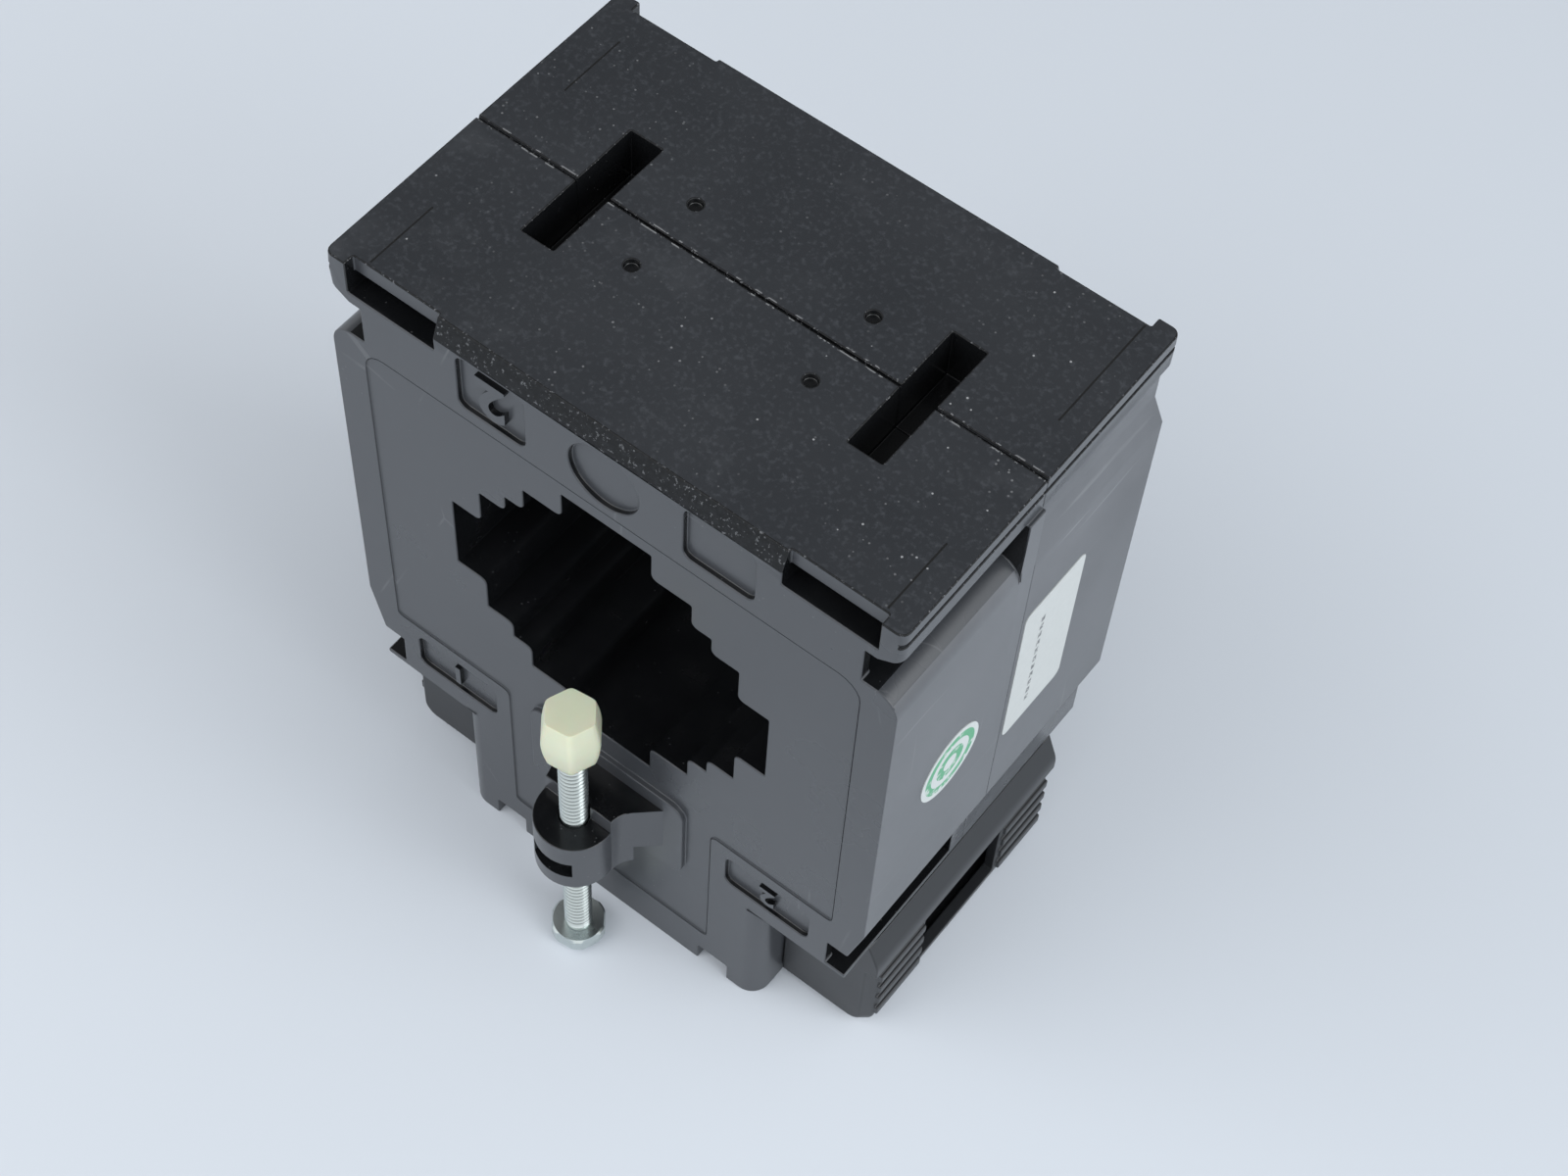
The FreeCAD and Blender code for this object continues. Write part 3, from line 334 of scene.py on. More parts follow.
def cover_plastic():
    """The terminal covers: a darker colour and slightly glossier."""
    shade = Shader("cover_satin")
    cloud = shade.noise(40.0, 4.0, 0.6)
    shade.set(base_color=shade.mix(cloud, grey(0.012, 1.25), grey(0.018, 1.2)))
    shade.set(roughness=shade.remap(cloud, 0.3, 0.7, 0.34, 0.42))
    shade.set(normal=shade.bump(shade.noise(1700.0, 3.0, 0.55), 0.16, 0.02))
    return shade.material


def edge_plastic():
    """The bevel round the top: the darkest and coarsest grain, with bright specks."""
    shade = Shader("housing_edge")
    grain = shade.noise(1000.0, 4.0, 0.65)
    base = shade.mix(shade.remap(grain, 0.45, 0.7), grey(0.003, 1.3), grey(0.010, 1.25))
    speck = shade.math("GREATER_THAN", shade.noise(1500.0, 3.0, 0.7), 0.62)
    shade.set(base_color=shade.mix(shade.times(speck, 0.35), base, grey(0.3, 1.08)))
    shade.set(roughness=0.55, specular_ior_level=0.3)
    shade.set(normal=shade.bump(grain, 0.8, 0.08))
    return shade.material


def grained_plastic():
    """The same moulding on top: darker, spark-eroded grain, with dust, rubbed specks, and scribed lines
    drawn as a groove bump with painted shade in it.
    """
    shade = Shader("housing_grain")
    cloud = shade.noise(34.0, 4.0, 0.6)
    grain = shade.noise(1150.0, 4.0, 0.62)
    axes = shade.axes()
    base = shade.mix(cloud, grey(0.016, 1.35), grey(0.024, 1.3))
    base = shade.mix(shade.remap(grain, 0.52, 0.74), base, grey(0.044, 1.25))
    rubbed = shade.remap(shade.noise(26.0, 5.0, 0.7), 0.56, 0.72, 0.0, 0.30)
    base = shade.mix(rubbed, base, grey(0.085, 1.15))
    chance = shade.axes(shade.cells(900.0, "Color"))[0]
    speck = shade.math("LESS_THAN", shade.cells(900.0), 0.17)
    speck = shade.times(speck, shade.math("GREATER_THAN", chance, 0.70))
    speck = shade.times(speck, shade.remap(shade.noise(46.0, 4.0, 0.65), 0.47, 0.66))
    stray = shade.math("LESS_THAN", shade.cells(260.0), 0.05)
    stray = shade.times(stray, shade.remap(shade.noise(18.0, 2.0), 0.45, 0.55))
    at_seam = shade.remap(shade.math("ABSOLUTE", axes[1]), 0.25 * MM, 0.75 * MM, 1.0, 0.0)
    nick = shade.times(at_seam, shade.math("GREATER_THAN", shade.noise(420.0, 3.0, 0.6), 0.565))
    scribe_groove_and_shade = []
    for across, start, end in SCRIBES:
        on_line = shade.math("COMPARE", axes[0], across * MM, 0.5 * SCRIBE_WIDTH * MM)
        in_reach = shade.math("COMPARE", axes[1], (start + end) / 2 * MM, (end - start) / 2 * MM)
        scribe_groove_and_shade.append(shade.times(on_line, in_reach))
    scribe_groove_and_shade = shade.either(*scribe_groove_and_shade)
    # Painted shade: the scribed lines get a near-black colour for the shade inside their grooves.
    base = shade.mix(scribe_groove_and_shade, base, grey(0.004))
    pale = shade.either(shade.times(speck, 0.30), shade.times(stray, 0.6), shade.times(nick, 0.9))
    shade.set(base_color=shade.mix(pale, base, grey(0.46, 1.03)))
    shade.set(roughness=shade.remap(cloud, 0.3, 0.7, 0.44, 0.54))
    shade.set(normal=shade.bump(shade.math("SUBTRACT", grain, shade.times(scribe_groove_and_shade, 3.0)), 0.55, 0.05))
    return shade.material


def polished_and_shaded_plastic():
    """Near-black glossy finish: real gloss on the tops of the bracket; in the window, slot, pockets,
    grooves, mark walls and under the bracket and ledge its dark colour is painted shade.
    """
    shade = Shader("housing_polish_and_painted_shade")
    smudge = shade.noise(120.0, 4.0, 0.65)
    dust = shade.math("LESS_THAN", shade.cells(700.0), 0.10)
    dust = shade.times(dust, shade.remap(shade.noise(70.0, 3.0), 0.50, 0.62))
    base = shade.mix(smudge, grey(0.0045, 1.25), grey(0.0075, 1.2))
    shade.set(base_color=shade.mix(shade.times(dust, 0.12), base, grey(0.4, 1.05)))
    shade.set(roughness=shade.remap(smudge, 0.35, 0.7, 0.13, 0.30))
    shade.set(normal=shade.bump(shade.noise(400.0, 2.0), 0.06, 0.03))
    return shade.material


def bolt_zinc():
    """Zinc plate of the clamp bolts, with painted shade darkening the roots of the thread."""
    shade = Shader("bolt_zinc")
    axes = shade.axes()
    from_axis = shade.math("SUBTRACT", shade.math("ABSOLUTE", axes[1]), BOLT_Y * MM)
    square = shade.math("ADD", shade.math("POWER", from_axis, 2.0), shade.math("POWER", axes[0], 2.0))
    radius = shade.math("SQRT", square)
    # Painted shade: the colour darkens towards the roots of the thread, by distance from the bolt's axis.
    root_shade = shade.remap(radius, (BOLT_RADIUS - THREAD_DEPTH) * MM, (BOLT_RADIUS - 0.05) * MM, 1.0, 0.0)
    tint = shade.mix(shade.noise(160.0, 3.0), (0.52, 0.57, 0.56, 1), (0.66, 0.71, 0.69, 1))
    threaded = shade.math("GREATER_THAN", axes[2], THREAD_LOW * MM)
    shade.set(base_color=shade.mix(shade.times(root_shade, threaded), tint, (0.07, 0.08, 0.08, 1)))
    shade.set(metallic=1.0)
    shade.set(roughness=shade.remap(shade.noise(240.0, 2.0), 0.3, 0.7, 0.2, 0.3))
    return shade.material


def zinc_plate(name, tint_low, tint_high, rough_low, rough_high):
    """Bright zinc plate with a faint blue cast and fine wear."""
    shade = Shader(name)
    shade.set(metallic=1.0)
    shade.set(base_color=shade.mix(shade.noise(160.0, 3.0), tint_low, tint_high))
    shade.set(roughness=shade.remap(shade.noise(240.0, 2.0), 0.3, 0.7, rough_low, rough_high))
    return shade.material


def cream_nylon():
    """Natural nylon, a little translucent, with painted shade darkening the cap towards its bottom."""
    shade = Shader("cream_nylon")
    height = shade.axes()[2]
    cloud = shade.noise(160.0, 2.0)
    # Painted shade: a darker colour mixed in more and more towards the bottom of the cap.
    painted_shade_low_down = shade.remap(height, *(z * MM for z in CAP_PAINTED_SHADE_Z), 1.0, 0.0)
    base = shade.mix(cloud, (0.62, 0.65, 0.47, 1), (0.69, 0.72, 0.55, 1))
    shade.set(base_color=shade.mix(shade.times(painted_shade_low_down, 0.45), base, (0.56, 0.55, 0.38, 1)))
    shade.set(roughness=0.38, subsurface_weight=0.3, subsurface_scale=0.003)
    shade.set(normal=shade.bump(shade.noise(700.0), 0.08, 0.03))
    return shade.material


def label_paper():
    """Coated white label with one thin column of plain dashes."""
    shade = Shader("white_label_paper")
    along, up = shade.axes()[1], shade.axes()[2]
    fibre = shade.noise(900.0, 2.0)
    paper = shade.mix(fibre, (0.45, 0.47, 0.465, 1), (0.50, 0.52, 0.51, 1))
    column = shade.math("COMPARE", along, INK_Y * MM, INK_HALF_WIDTH * MM)
    length = shade.math("LESS_THAN", shade.math("FRACT", shade.times(up, INK_PER_METRE)), 0.62)
    span = shade.math("COMPARE", up, INK_Z * MM, INK_REACH * MM)
    ink = shade.times(column, length, span, shade.remap(shade.noise(1600.0), 0.35, 0.5))
    shade.set(base_color=shade.mix(shade.times(ink, 0.8), paper, (0.03, 0.03, 0.035, 1)))
    shade.set(roughness=0.4)
    shade.set(normal=shade.bump(fibre, 0.05, 0.02))
    return shade.material


def ring_sticker():
    """Round sticker: white rim, green rings, pale middle."""
    shade = Shader("round_sticker_paper")
    centre = shade.add("ShaderNodeVectorMath", operation="SUBTRACT")
    shade.link(shade.place(), centre.inputs[0])
    centre.inputs[1].default_value = [place * MM for place in STICKER_PLACE]
    length = shade.add("ShaderNodeVectorMath", operation="LENGTH")
    shade.link(centre.outputs[0], length.inputs[0])
    radius = length.outputs["Value"]
    white, green = (0.52, 0.55, 0.54, 1), (0.035, 0.30, 0.13, 1)
    rings = [shade.math("COMPARE", radius, middle * MM, half * MM) for middle, half in STICKER_RINGS]
    rings = shade.either(*rings)
    worn = shade.remap(shade.noise(700.0, 2.0), 0.3, 0.42)
    shade.set(base_color=shade.mix(shade.times(rings, worn, 0.9), white, green))
    shade.set(roughness=0.42)
    shade.set(normal=shade.bump(shade.noise(900.0), 0.05, 0.02))
    return shade.material


def wound(name, low, high, turns, metallic, rough):
    """Wire or tape wound round the window's axis."""
    shade = Shader(name)
    axes = shade.axes()
    angle = shade.math("ARCTAN2", shade.math("SUBTRACT", axes[2], WINDOW_Z * MM), axes[0])
    turn = shade.math("FRACT", shade.times(angle, turns / math.tau))
    ridge = shade.math("SINE", shade.times(turn, math.pi))
    shade.set(base_color=shade.mix(shade.noise(300.0, 3.0), low, high))
    shade.set(metallic=metallic, roughness=rough)
    shade.set(normal=shade.bump(ridge, 0.6, 0.3))
    return shade.material


def plain(name, low, high, rough, metallic=0.0, grain=600.0):
    """Plain finish of a part inside the housing."""
    shade = Shader(name)
    shade.set(metallic=metallic, roughness=rough)
    shade.set(base_color=shade.mix(shade.noise(grain, 3.0), low, high))
    shade.set(normal=shade.bump(shade.noise(2 * grain), 0.2, 0.03))
    return shade.material


def dress(names, material):
    """Give the material to the named CAD nodes."""
    for name in names:
        mesh = NODES[name].data
        mesh.materials.clear()
        mesh.materials.append(material)
        for face in mesh.polygons:
            face.material_index = 0


def dress_inner_parts():
    """Finishes of everything that the housing and the covers hold."""
    steel = plain("core_steel", (0.30, 0.30, 0.31, 1), (0.42, 0.42, 0.43, 1), 0.35, 1.0, 200.0)
    tinned = plain("tinned_copper", (0.58, 0.56, 0.52, 1), (0.70, 0.68, 0.64, 1), 0.28, 1.0)
    zinc = zinc_plate("screw_zinc", (0.55, 0.58, 0.60, 1), (0.72, 0.74, 0.72, 1), 0.2, 0.34)
    dress(["toroid_core"], steel)
    dress(["core_case_front", "core_case_rear"],
          plain("case_nylon", (0.52, 0.50, 0.42, 1), (0.60, 0.58, 0.50, 1), 0.5))
    dress(["secondary_winding"],
          wound("enamelled_wire", (0.42, 0.14, 0.05, 1), (0.60, 0.24, 0.09, 1), 190, 0.8, 0.3))
    dress(["winding_tape"],
          wound("polyester_tape", (0.62, 0.46, 0.08, 1), (0.70, 0.54, 0.12, 1), 24, 0.0, 0.35))
    dress(["core_pad_front", "core_pad_rear"],
          plain("pad_foam", (0.035, 0.035, 0.037, 1), (0.06, 0.06, 0.063, 1), 0.9, 0.0, 1500.0))
    for (side, _), colours in zip(SIDES, (((0.28, 0.02, 0.02, 1), (0.36, 0.04, 0.03, 1)),
                                          ((0.02, 0.03, 0.22, 1), (0.03, 0.05, 0.30, 1)))):
        dress([f"lead_{side}"], plain(f"lead_sleeve_{side}", *colours, 0.45))
        dress([f"terminal_bar_{side}"], tinned)
        dress([f"terminal_washer_{side}", f"terminal_screw_{side}"], zinc)


def between(value, span):
    """Whether the value lies inside the span."""
    return span[0] < value < span[1]


def new_piece(name, mesh):
    """A new object with the mesh, in the scene."""
    piece = bpy.data.objects.new(name, mesh)
    bpy.context.scene.collection.objects.link(piece)
    return piece


def mesh_of(name, points, faces):
    """A mesh from points in mm and faces, with doubled points joined."""
    mesh = bpy.data.meshes.new(name)
    mesh.from_pydata([Vector(point) * MM for point in points], [], faces)
    form = bmesh.new()
    form.from_mesh(mesh)
    bmesh.ops.remove_doubles(form, verts=form.verts, dist=1e-7)
    bmesh.ops.dissolve_degenerate(form, edges=form.edges, dist=1e-7)
    bmesh.ops.recalc_face_normals(form, faces=form.faces)
    form.to_mesh(mesh)
    form.free()
    return mesh


def join(mesh, extra):
    """Add the faces of another mesh to the mesh."""
    form = bmesh.new()
    form.from_mesh(mesh)
    form.from_mesh(extra)
    form.to_mesh(mesh)
    form.free()


def bake_modifiers(piece):
    """Give the piece the mesh that its modifiers make."""
    graph = bpy.context.evaluated_depsgraph_get()
    graph.update()
    mesh = bpy.data.meshes.new_from_object(piece.evaluated_get(graph))
    piece.modifiers.clear()
    piece.data = mesh


def cut(piece, cutter):
    """Take the cutter's volume away from the piece and drop the cutter."""
    step = piece.modifiers.new("cut", "BOOLEAN")
    step.operation = "DIFFERENCE"
    step.solver = "EXACT"
    step.object = cutter
    bake_modifiers(piece)
    bpy.data.objects.remove(cutter)


def rounded(corners):
    """Outline through corners of (across, up, radius), each rounded by an arc."""
    points = []
    for index, (across, up, radius) in enumerate(corners):
        here = Vector((across, up))
        back = (Vector(corners[index - 1][:2]) - here).normalized()
        ahead = (Vector(corners[(index + 1) % len(corners)][:2]) - here).normalized()
        half = back.angle(ahead) / 2
        centre = here + (back + ahead).normalized() * radius / math.sin(half)
        start = here + back * radius / math.tan(half) - centre
        end = here + ahead * radius / math.tan(half) - centre
        first = math.atan2(start.y, start.x)
        sweep = math.remainder(math.atan2(end.y, end.x) - first, math.tau)
        for step in range(ARC_STEPS + 1):
            angle = first + sweep * step / ARC_STEPS
            points.append((centre.x + radius * math.cos(angle), centre.y + radius * math.sin(angle)))
    return points


def slab(outline, low_y, high_y):
    """Solid with the outline in X and Z between two depths along Y."""
    count = len(outline)
    points = [(x, y, z) for y in (low_y, high_y) for x, z in outline]
    faces = [tuple(range(count)), tuple(range(count, 2 * count))]
    faces += [(i, (i + 1) % count, count + (i + 1) % count, count + i) for i in range(count)]
    return new_piece("cutter", mesh_of("cutter", points, faces))


def face_field(end):
    """Cutter for the shallow field of the front or rear face, without the bracket's plinth."""
    outer = end * (FACE_Y + 2)
    field = slab(rounded(FIELD_CORNERS), *sorted((outer, end * (FACE_Y - FIELD_DEPTH))))
    cut(field, slab(rounded(PLINTH_CORNERS), -FACE_Y - 3, FACE_Y + 3))
    return field


def mark_cutters():
    """Cutters for the recessed plates and the round mark of the front face."""
    depth = (-FACE_Y - 1, MARK_DEPTH - FACE_Y)
    for left, right, low, high in TOP_PLATES + LOW_PLATES:
        places = ((left, high), (left, low), (right, low), (right, high))
        yield slab(rounded([(x, z, MARK_ROUND) for x, z in places]), *depth)
    x, z = RING_PLACE
    turns = [math.tau * step / RING_STEPS for step in range(RING_STEPS)]
    ring = [(x + RING_RADIUS * math.cos(turn), z + RING_RADIUS * math.sin(turn)) for turn in turns]
    yield slab(ring, *depth)


def seam_cutter():
    """Cutter for the groove between the two halves on the top."""
    x, half = CAD_HIGH[0] / MM + 1, SEAM_WIDTH / 2
    low, high = TOP_Z - SEAM_DEPTH, TOP_Z + 1
    return slab([(-x, low), (x, low), (x, high), (-x, high)], -half, half)


def round_upright_corners(mesh):
    """Round the window's tips along its whole depth, and the upright corners of the top plate."""
    form = bmesh.new()
    form.from_mesh(mesh)
    ears = []
    for edge in form.edges:
        middle = (edge.verts[0].co + edge.verts[1].co) / 2 / MM
        along = (edge.verts[0].co - edge.verts[1].co).normalized()
        at_corner = abs(abs(middle.x) - EAR_X) < 0.3 and abs(abs(middle.y) - FACE_Y) < 0.3
        if abs(along.z) > 0.99 and at_corner and middle.z > EAR_LOW:
            ears.append(edge)
    round_off = dict(segments=CORNER_STEPS, affect="EDGES", profile=0.5)
    bmesh.ops.bevel(form, geom=ears, offset=EAR_ROUND * MM, **round_off)
    tips = [(i * x, j * z) for x, z in WINDOW_TIPS for i in (-1, 1) for j in (-1, 1)]
    edges = []
    for edge in form.edges:
        middle = (edge.verts[0].co + edge.verts[1].co) / 2 / MM
        along = (edge.verts[0].co - edge.verts[1].co).normalized()
        near = min(abs(middle.x - x) + abs(middle.z - WINDOW_Z - z) for x, z in tips)
        if abs(along.y) > 0.99 and near < 0.3:
            edges.append(edge)
    bmesh.ops.bevel(form, geom=edges, offset=TIP_ROUND * MM, **round_off)
    form.to_mesh(mesh)
    form.free()


def merge_flats(mesh):
    """Join the triangles of each flat face."""
    form = bmesh.new()
    form.from_mesh(mesh)
    bmesh.ops.remove_doubles(form, verts=form.verts, dist=1e-6)
    bmesh.ops.dissolve_limit(form, angle_limit=math.radians(0.6), verts=form.verts, edges=form.edges)
    bmesh.ops.recalc_face_normals(form, faces=form.faces)
    form.to_mesh(mesh)
    form.free()


def soften(piece, bevel_mm, segments=2):
    """Round the sharp edges, but not the bracket's tight corners, and keep the flat faces flat."""
    form = bmesh.new()
    form.from_mesh(piece.data)
    weight = form.edges.layers.float.new("bevel_weight_edge")
    for edge in form.edges:
        middle = (edge.verts[0].co + edge.verts[1].co) / 2 / MM
        x, y = abs(middle.x), abs(middle.y)
        on_bracket = y > FACE_Y + 0.1 and x < BRACKET_X and between(middle.z, BRACKET_Z)
        rim = on_bracket and middle.z > EYE_RIM_Z and x < EYE_X and y > FACE_Y + EYE_OUT
        sharp = len(edge.link_faces) == 2 and edge.calc_face_angle() > math.radians(SHARP_DEG)
        rounds = sharp and (rim or not on_bracket)
        edge[weight] = 1.0 if rounds else 0.0
        edge.smooth = rounds or not sharp
    form.to_mesh(piece.data)
    form.free()
    step = piece.modifiers.new("edges", "BEVEL")
    step.width = bevel_mm * MM
    step.segments = segments
    step.limit_method = "WEIGHT"
    step.use_clamp_overlap = False
    step.miter_outer = "MITER_ARC"
    step.harden_normals = True
    piece.data.shade_smooth()
    bake_modifiers(piece)


def skin(node, name):
    """A new piece with the welded form of a CAD node."""
    source = NODES[node].data
    points = [vertex.co / MM for vertex in source.vertices]
    piece = new_piece(name, mesh_of(name, points, [tuple(face.vertices) for face in source.polygons]))
    merge_flats(piece.data)
    return piece


def finish_piece(piece, body, slot, *nodes):
    """Let the piece stand for its CAD nodes on its body."""
    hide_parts(*nodes)
    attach(piece, body)


def paint(piece, materials, choose):
    """Give each face one of the materials by its place and direction in mm."""
    for material in materials:
        piece.data.materials.append(material)
    for face in piece.data.polygons:
        face.material_index = choose(face.center / MM, face.normal)


# Finishes of the housing halves; the polish finish also stands for painted shade in hollows.
SATIN, GRAIN, POLISH_AND_SHADE, SCUFFED_AND_SHEEN, EDGE = range(5)


def shell_finish(place, facing):
    """Which finish this part of a housing half gets: the polish finish also paints shade into its hollows,
    and the scuffed finish also paints sheen on the side panels.
    """
    x, y, z = abs(place.x), abs(place.y), place.z
    outward = facing.x if place.x > 0 else -facing.x
    by_slot = x < SLOT_X and y < SLOT_Y
    if facing.z > 0.2 and z > TOP_LOW and not (by_slot and z < TOP_Z - 0.6):
        return GRAIN if facing.z > 0.97 else EDGE
    # The polish returned below is painted shade in the slot, mark walls, pockets, grooves, window, under the
    # bracket and on the block under the ledge; on the bracket's tops it is real gloss.
    if z > SLOT_LOW and by_slot:
        return POLISH_AND_SHADE
    on_mark = between(y, (FACE_Y - MARK_DEPTH - 0.1, FACE_Y - 0.3)) and abs(facing.y) < 0.8 and x < MARKS_X
    if on_mark and (z > TOP_MARKS_LOW or between(z, LOW_MARKS_Z)):
        return POLISH_AND_SHADE
    if between(y, (FOOT_POCKET_Y, FACE_Y - 0.3)) and between(x, FOOT_POCKET_X) and between(z, FOOT_POCKET_Z):
        return POLISH_AND_SHADE
    at_rail_end = x > EAR_X - 1.1 and abs(facing.x) < 0.8
    if between(z, GROOVE_Z) and (at_rail_end or between(x, (GROOVE_X, EAR_X - 0.7))):
        return POLISH_AND_SHADE
    on_panel = x > PANEL_INNER_X and outward > 0.5 or outward > 0.15 and facing.z > 0.15
    by_pocket = between(z, SIDE_POCKET_Z) and between(x, (SIDE_POCKET_X, PANEL_X - 0.9))
    if by_pocket and y < FACE_Y - 0.5 and not on_panel:
        return POLISH_AND_SHADE
    # Side panels get the scuffed finish: real scratches on a base painted paler as sheen.
    if x > PANEL_X - 3.5 and outward > 0.8 and between(z, SCUFFED_SHEEN_Z):
        return SCUFFED_AND_SHEEN
    if x < WINDOW_REACH and abs(z - WINDOW_Z) < WINDOW_REACH and y < FACE_Y - 0.9:
        return POLISH_AND_SHADE
    if y > FACE_Y + 0.9 and not -0.3 <= facing.z <= 0.6:
        return POLISH_AND_SHADE
    if x < BLOCK_X and between(z, BLOCK_Z) and y < FACE_Y - 0.5:
        return POLISH_AND_SHADE
    return SATIN


def numeral(text, height, across, up):
    """A raised numeral, upside down as moulded, that stands to the level of the face."""
    curve = bpy.data.curves.new("numeral", "FONT")
    curve.body = text
    curve.size = height / NUMERAL_CAPITAL
    curve.align_x, curve.align_y = "CENTER", "CENTER"
    curve.extrude = MARK_DEPTH / 2
    curve.offset = NUMERAL_BOLD * height
    curve.resolution_u = 4
    draft = new_piece("numeral", curve)
    bpy.context.view_layer.update()
    mesh = bpy.data.meshes.new_from_object(draft.evaluated_get(bpy.context.evaluated_depsgraph_get()))
    bpy.data.objects.remove(draft)
    lows, highs = zip(*((min(row), max(row)) for row in zip(*(vertex.co for vertex in mesh.vertices))))
    middle = Vector([(low + high) / 2 for low, high in zip(lows, highs)])
    scale = height / (highs[1] - lows[1])
    fit = Matrix.Diagonal((scale, scale, 1.0))
    turn = Matrix(((-1, 0, 0), (0, 0, -1), (0, -1, 0)))
    place = Vector((across, 0.53 * MARK_DEPTH - FACE_Y, up))
    points = [turn @ fit @ (vertex.co - middle) + place for vertex in mesh.vertices]
    return points, [tuple(face.vertices) for face in mesh.polygons]


def add_numerals(piece):
    """Join the moulded numerals to the front half."""
    for text, height, (left, right, low, high) in NUMERALS:
        points, faces = numeral(text, height, (left + right) / 2, (low + high) / 2)
        join(piece.data, mesh_of("numeral", points, faces))


def housing_halves(materials):
    """Both housing halves with their shallow fields, marks and softened edges."""
    for label, end in ENDS:
        half = skin(f"{label}_shell", f"{label}_half")
        cut(half, face_field(end))
        if label == "front":
            for cutter in mark_cutters():
                cut(half, cutter)
        cut(half, seam_cutter())
        merge_flats(half.data)
        round_upright_corners(half.data)
        soften(half, SHELL_BEVEL)
        if label == "front":
            add_numerals(half)
        paint(half, materials, shell_finish)
        finish_piece(half, "housing", "housing", f"{label}_shell")


def terminal_covers(material):
    """Both terminal covers with softened edges."""
    for side, _ in SIDES:
        cover = skin(f"terminal_cover_{side}", f"cover_{side}_piece")
        soften(cover, COVER_BEVEL, segments=3)
        cover.data.materials.append(material)
        finish_piece(cover, f"cover_{side}", "housing", f"terminal_cover_{side}")


def hexagon_ring(centre_y, z, half_flats, round_radius, turn_deg):
    """Points of a hexagon whose corners are cut by a circle, at one height."""
    points = []
    for step in range(HEXAGON_STEPS):
        angle = math.tau * step / HEXAGON_STEPS
        inside = math.remainder(angle - math.radians(turn_deg), math.pi / 3)
        flat = half_flats / math.cos(math.pi / 6 - abs(inside))
        radius = min(flat, round_radius)
        points.append((radius * math.cos(angle), centre_y + radius * math.sin(angle), z))
    return points


def stacked(name, rings):
    """Closed solid through rings of points with as many points each."""
    count = len(rings[0])
    points = [point for ring in rings for point in ring]
    faces = [tuple(range(count)), tuple(range(len(points) - count, len(points)))]
    for level in range(len(rings) - 1):
        for i in range(count):
            j = (i + 1) % count
            below, above = level * count, (level + 1) * count
            faces.append((below + i, below + j, above + j, above + i))
    return mesh_of(name, points, faces)


def hexagon_solid(name, rows, centre_y, turn_deg):
    """Closed solid through rows of height, half width across flats and corner radius."""
    return stacked(name, [hexagon_ring(centre_y, *row, turn_deg) for row in rows])


def cap_rows():
    """Rows of a cap: its two ends, and the swell between them."""
    first, last = CAP_ENDS
    yield first
    for step in range(CAP_STEPS + 1):
        share = step / CAP_STEPS
        swell = CAP_WAIST + (1 - CAP_WAIST) * (1 - abs(2 * share - 1) ** CAP_CURVE)
        yield CAP_LOW + CAP_LENGTH * share, CAP_FLATS * swell, CAP_CORNER * swell
    yield last


def threaded_rod(name, centre_y, low, high):
    """Rod whose surface winds up as one thread and ends flat."""
    rows = math.ceil((high - low) / THREAD_PITCH + 2) * THREAD_STEPS
    points, faces = [], []
    for row in range(rows + 1):
        crest = 0.5 - 0.5 * math.cos(math.tau * row / THREAD_STEPS)
        for step in range(ROUND_STEPS):
            angle = math.tau * step / ROUND_STEPS
            z = low + (row / THREAD_STEPS + step / ROUND_STEPS - 1) * THREAD_PITCH
            level = min(max(z, low), high)
            near_end = min(level - low, high - level) / THREAD_PITCH
            radius = BOLT_RADIUS - THREAD_DEPTH * (1 - crest * min(near_end * 2, 1.0))
            points.append((radius * math.cos(angle), centre_y + radius * math.sin(angle), level))
    for row in range(rows - THREAD_STEPS):
        for step in range(ROUND_STEPS):
            i = row * ROUND_STEPS + step
            j = i + 1 if step < ROUND_STEPS - 1 else (row + THREAD_STEPS) * ROUND_STEPS
            faces.append((i, j, j + ROUND_STEPS, i + ROUND_STEPS))
    mesh = mesh_of(name, points, faces)
    form = bmesh.new()
    form.from_mesh(mesh)
    loose = [vertex for vertex in form.verts if not vertex.link_faces]
    bmesh.ops.delete(form, geom=loose, context="VERTS")
    bmesh.ops.holes_fill(form, edges=form.edges)
    bmesh.ops.recalc_face_normals(form, faces=form.faces)
    form.to_mesh(mesh)
    form.free()
    return mesh


def clamp_sets(zinc, nylon):
    """Bolt, nut and cap of each clamp bracket."""
    for label, end in ENDS:
        centre = end * BOLT_Y
        head = hexagon_solid("head", HEAD_ROWS, centre, HEAD_TURN_DEG)
        bolt = new_piece(f"bolt_{label}_piece", threaded_rod("rod", centre, *ROD_Z))
        join(bolt.data, head)
        nut = new_piece(f"nut_{label}_piece", hexagon_solid("nut", NUT_ROWS, centre, NUT_TURN_DEG))
        cap = new_piece(f"cap_{label}_piece", hexagon_solid("cap", cap_rows(), centre, HEAD_TURN_DEG))
        for piece, material, body, slot, node in (
            (bolt, zinc, f"bolt_{label}", "zinc", "clamp_bolt"),
            (nut, zinc, "housing", "zinc", "clamp_nut"),
            (cap, nylon, f"cap_{label}", "nylon", "clamp_cap"),
        ):
            piece.data.materials.append(material)
            piece.data.shade_smooth()
            piece.data.set_sharp_from_angle(angle=math.radians(40))
            finish_piece(piece, body, slot, f"{node}_{label}")


def ramp(tree, source, low, high, start, end):
    """A value mapped from one span to another, in the world's node tree."""
    node = tree.nodes.new("ShaderNodeMapRange")
    tree.links.new(source, node.inputs["Value"])
    node.inputs["From Min"].default_value, node.inputs["From Max"].default_value = low, high
    node.inputs["To Min"].default_value, node.inputs["To Max"].default_value = start, end
    return node.outputs["Result"]


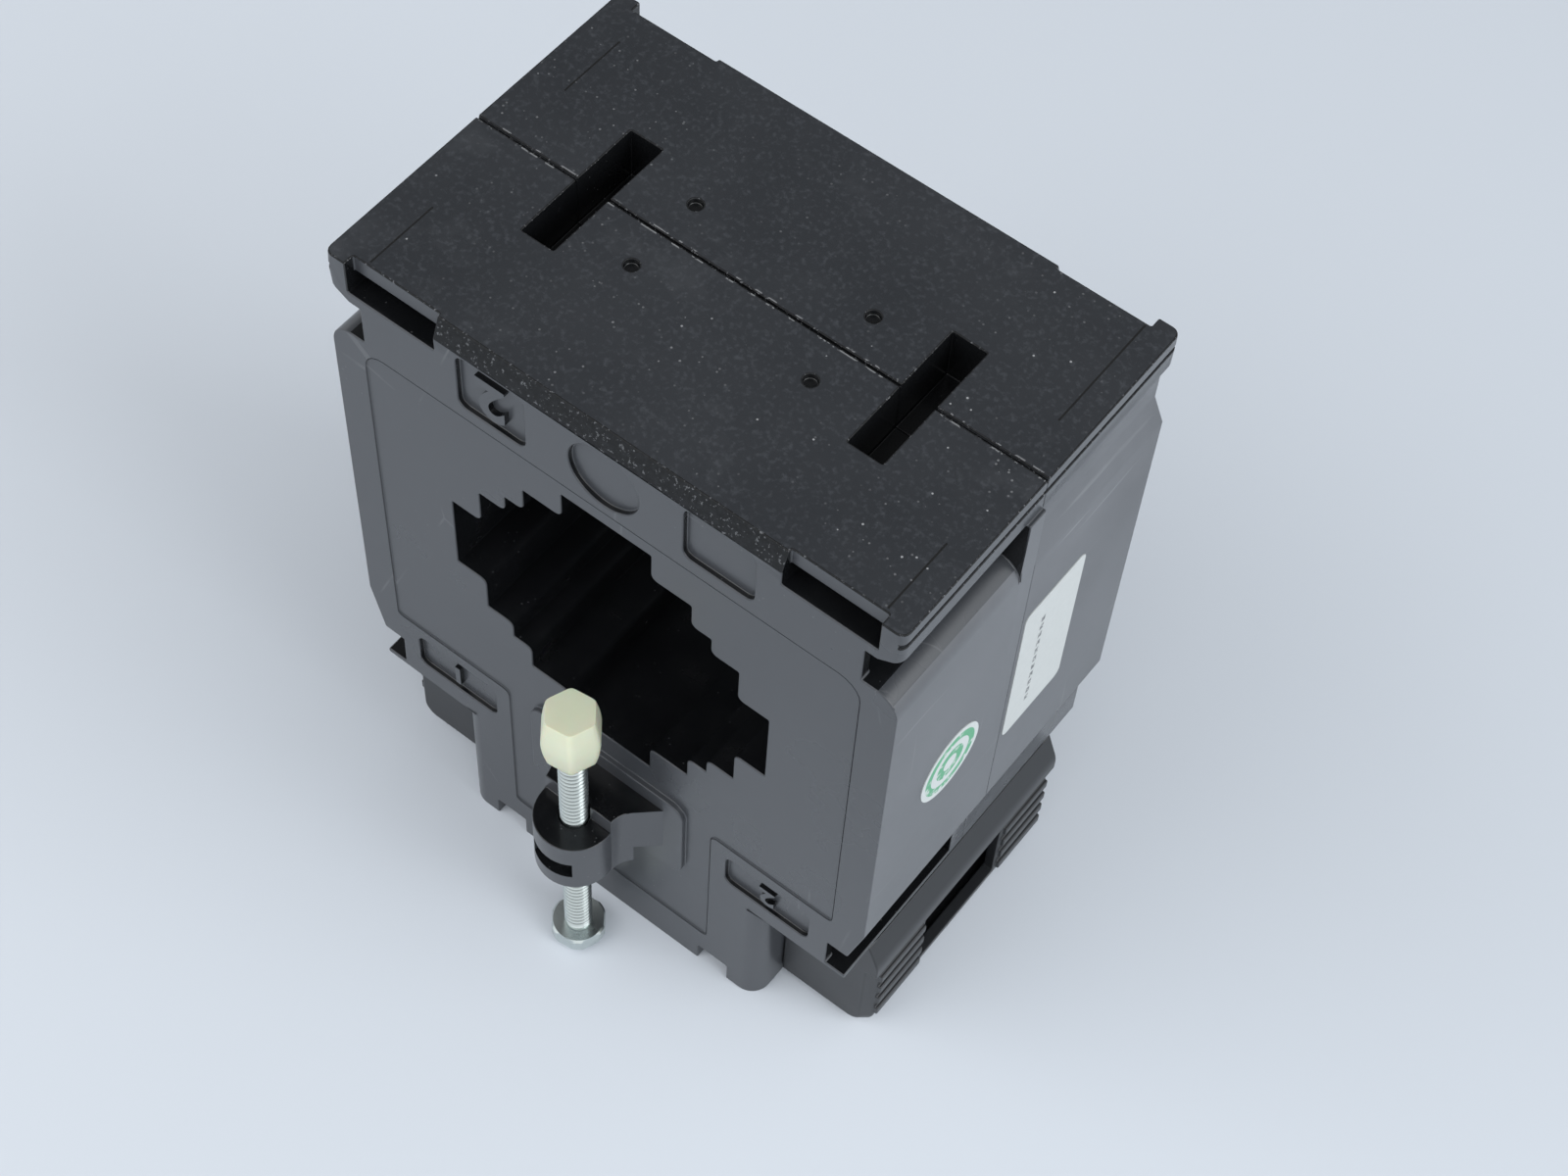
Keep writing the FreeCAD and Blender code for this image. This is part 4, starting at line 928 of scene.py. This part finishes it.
def area_lamp(name, place, size, energy, colour=(1.0, 1.0, 1.0)):
    """A rectangular lamp that shines at the middle of the part."""
    data = bpy.data.lights.new(name, "AREA")
    data.shape = "RECTANGLE"
    data.size, data.size_y = size
    data.energy = energy
    data.color = colour
    lamp = bpy.data.objects.new(name, data)
    lamp.location = place
    lamp.rotation_euler = (Vector(LAMP_AIM) - Vector(place)).to_track_quat("-Z", "Y").to_euler()
    bpy.context.scene.collection.objects.link(lamp)


def set_stage():
    """Pale floor with painted shade darkening it towards the back, a bright even room with one dim part, and
    two soft lamps.
    """
    bpy.ops.mesh.primitive_plane_add(size=FLOOR_SIZE, location=(0.0, 0.0, 0.0))
    floor = bpy.context.active_object
    floor.name = "floor"
    shade = Shader("floor_with_painted_shade")
    across = shade.axes(shade.stretch((1.0, 1.0, 1.0), (0.0, 0.0, 0.65)))
    # Painted shade: the floor's colour darkens towards the back.
    painted_far_shade = shade.remap(across[1], -0.25, 0.35)
    near, far = (0.69, 0.73, 0.785, 1.0), (0.55, 0.585, 0.635, 1.0)
    shade.set(base_color=shade.mix(painted_far_shade, near, far), roughness=0.85)
    floor.data.materials.append(shade.material)

    world = bpy.data.worlds.new("surroundings")
    bpy.context.scene.world = world
    world.use_nodes = True
    tree = world.node_tree
    background = tree.nodes["Background"]
    direction = tree.nodes.new("ShaderNodeTexCoord").outputs["Generated"]
    background.inputs["Color"].default_value = (0.94, 0.97, 1.0, 1.0)
    dim = tree.nodes.new("ShaderNodeVectorMath")
    dim.operation = "DOT_PRODUCT"
    tree.links.new(direction, dim.inputs[0])
    dim.inputs[1].default_value = DIM_SKY
    strength = ramp(tree, dim.outputs["Value"], *DIM_EDGE, *SKY_STRENGTH)
    tree.links.new(strength, background.inputs["Strength"])

    area_lamp("soft_box", (-0.45, -0.65, 0.95), (0.9, 0.6), 3.0)
    area_lamp("side_box", (0.95, 0.05, 0.65), (0.8, 0.8), 7.0, (0.95, 0.98, 1.0))


set_view()
set_stage()
finishes = [satin_plastic(), grained_plastic(), polished_and_shaded_plastic(), scuffed_sheen_plastic(), edge_plastic()]
housing_halves(finishes)
terminal_covers(cover_plastic())
clamp_sets(bolt_zinc(), cream_nylon())
dress(["white_label"], label_paper())
dress(["round_sticker"], ring_sticker())
dress_inner_parts()
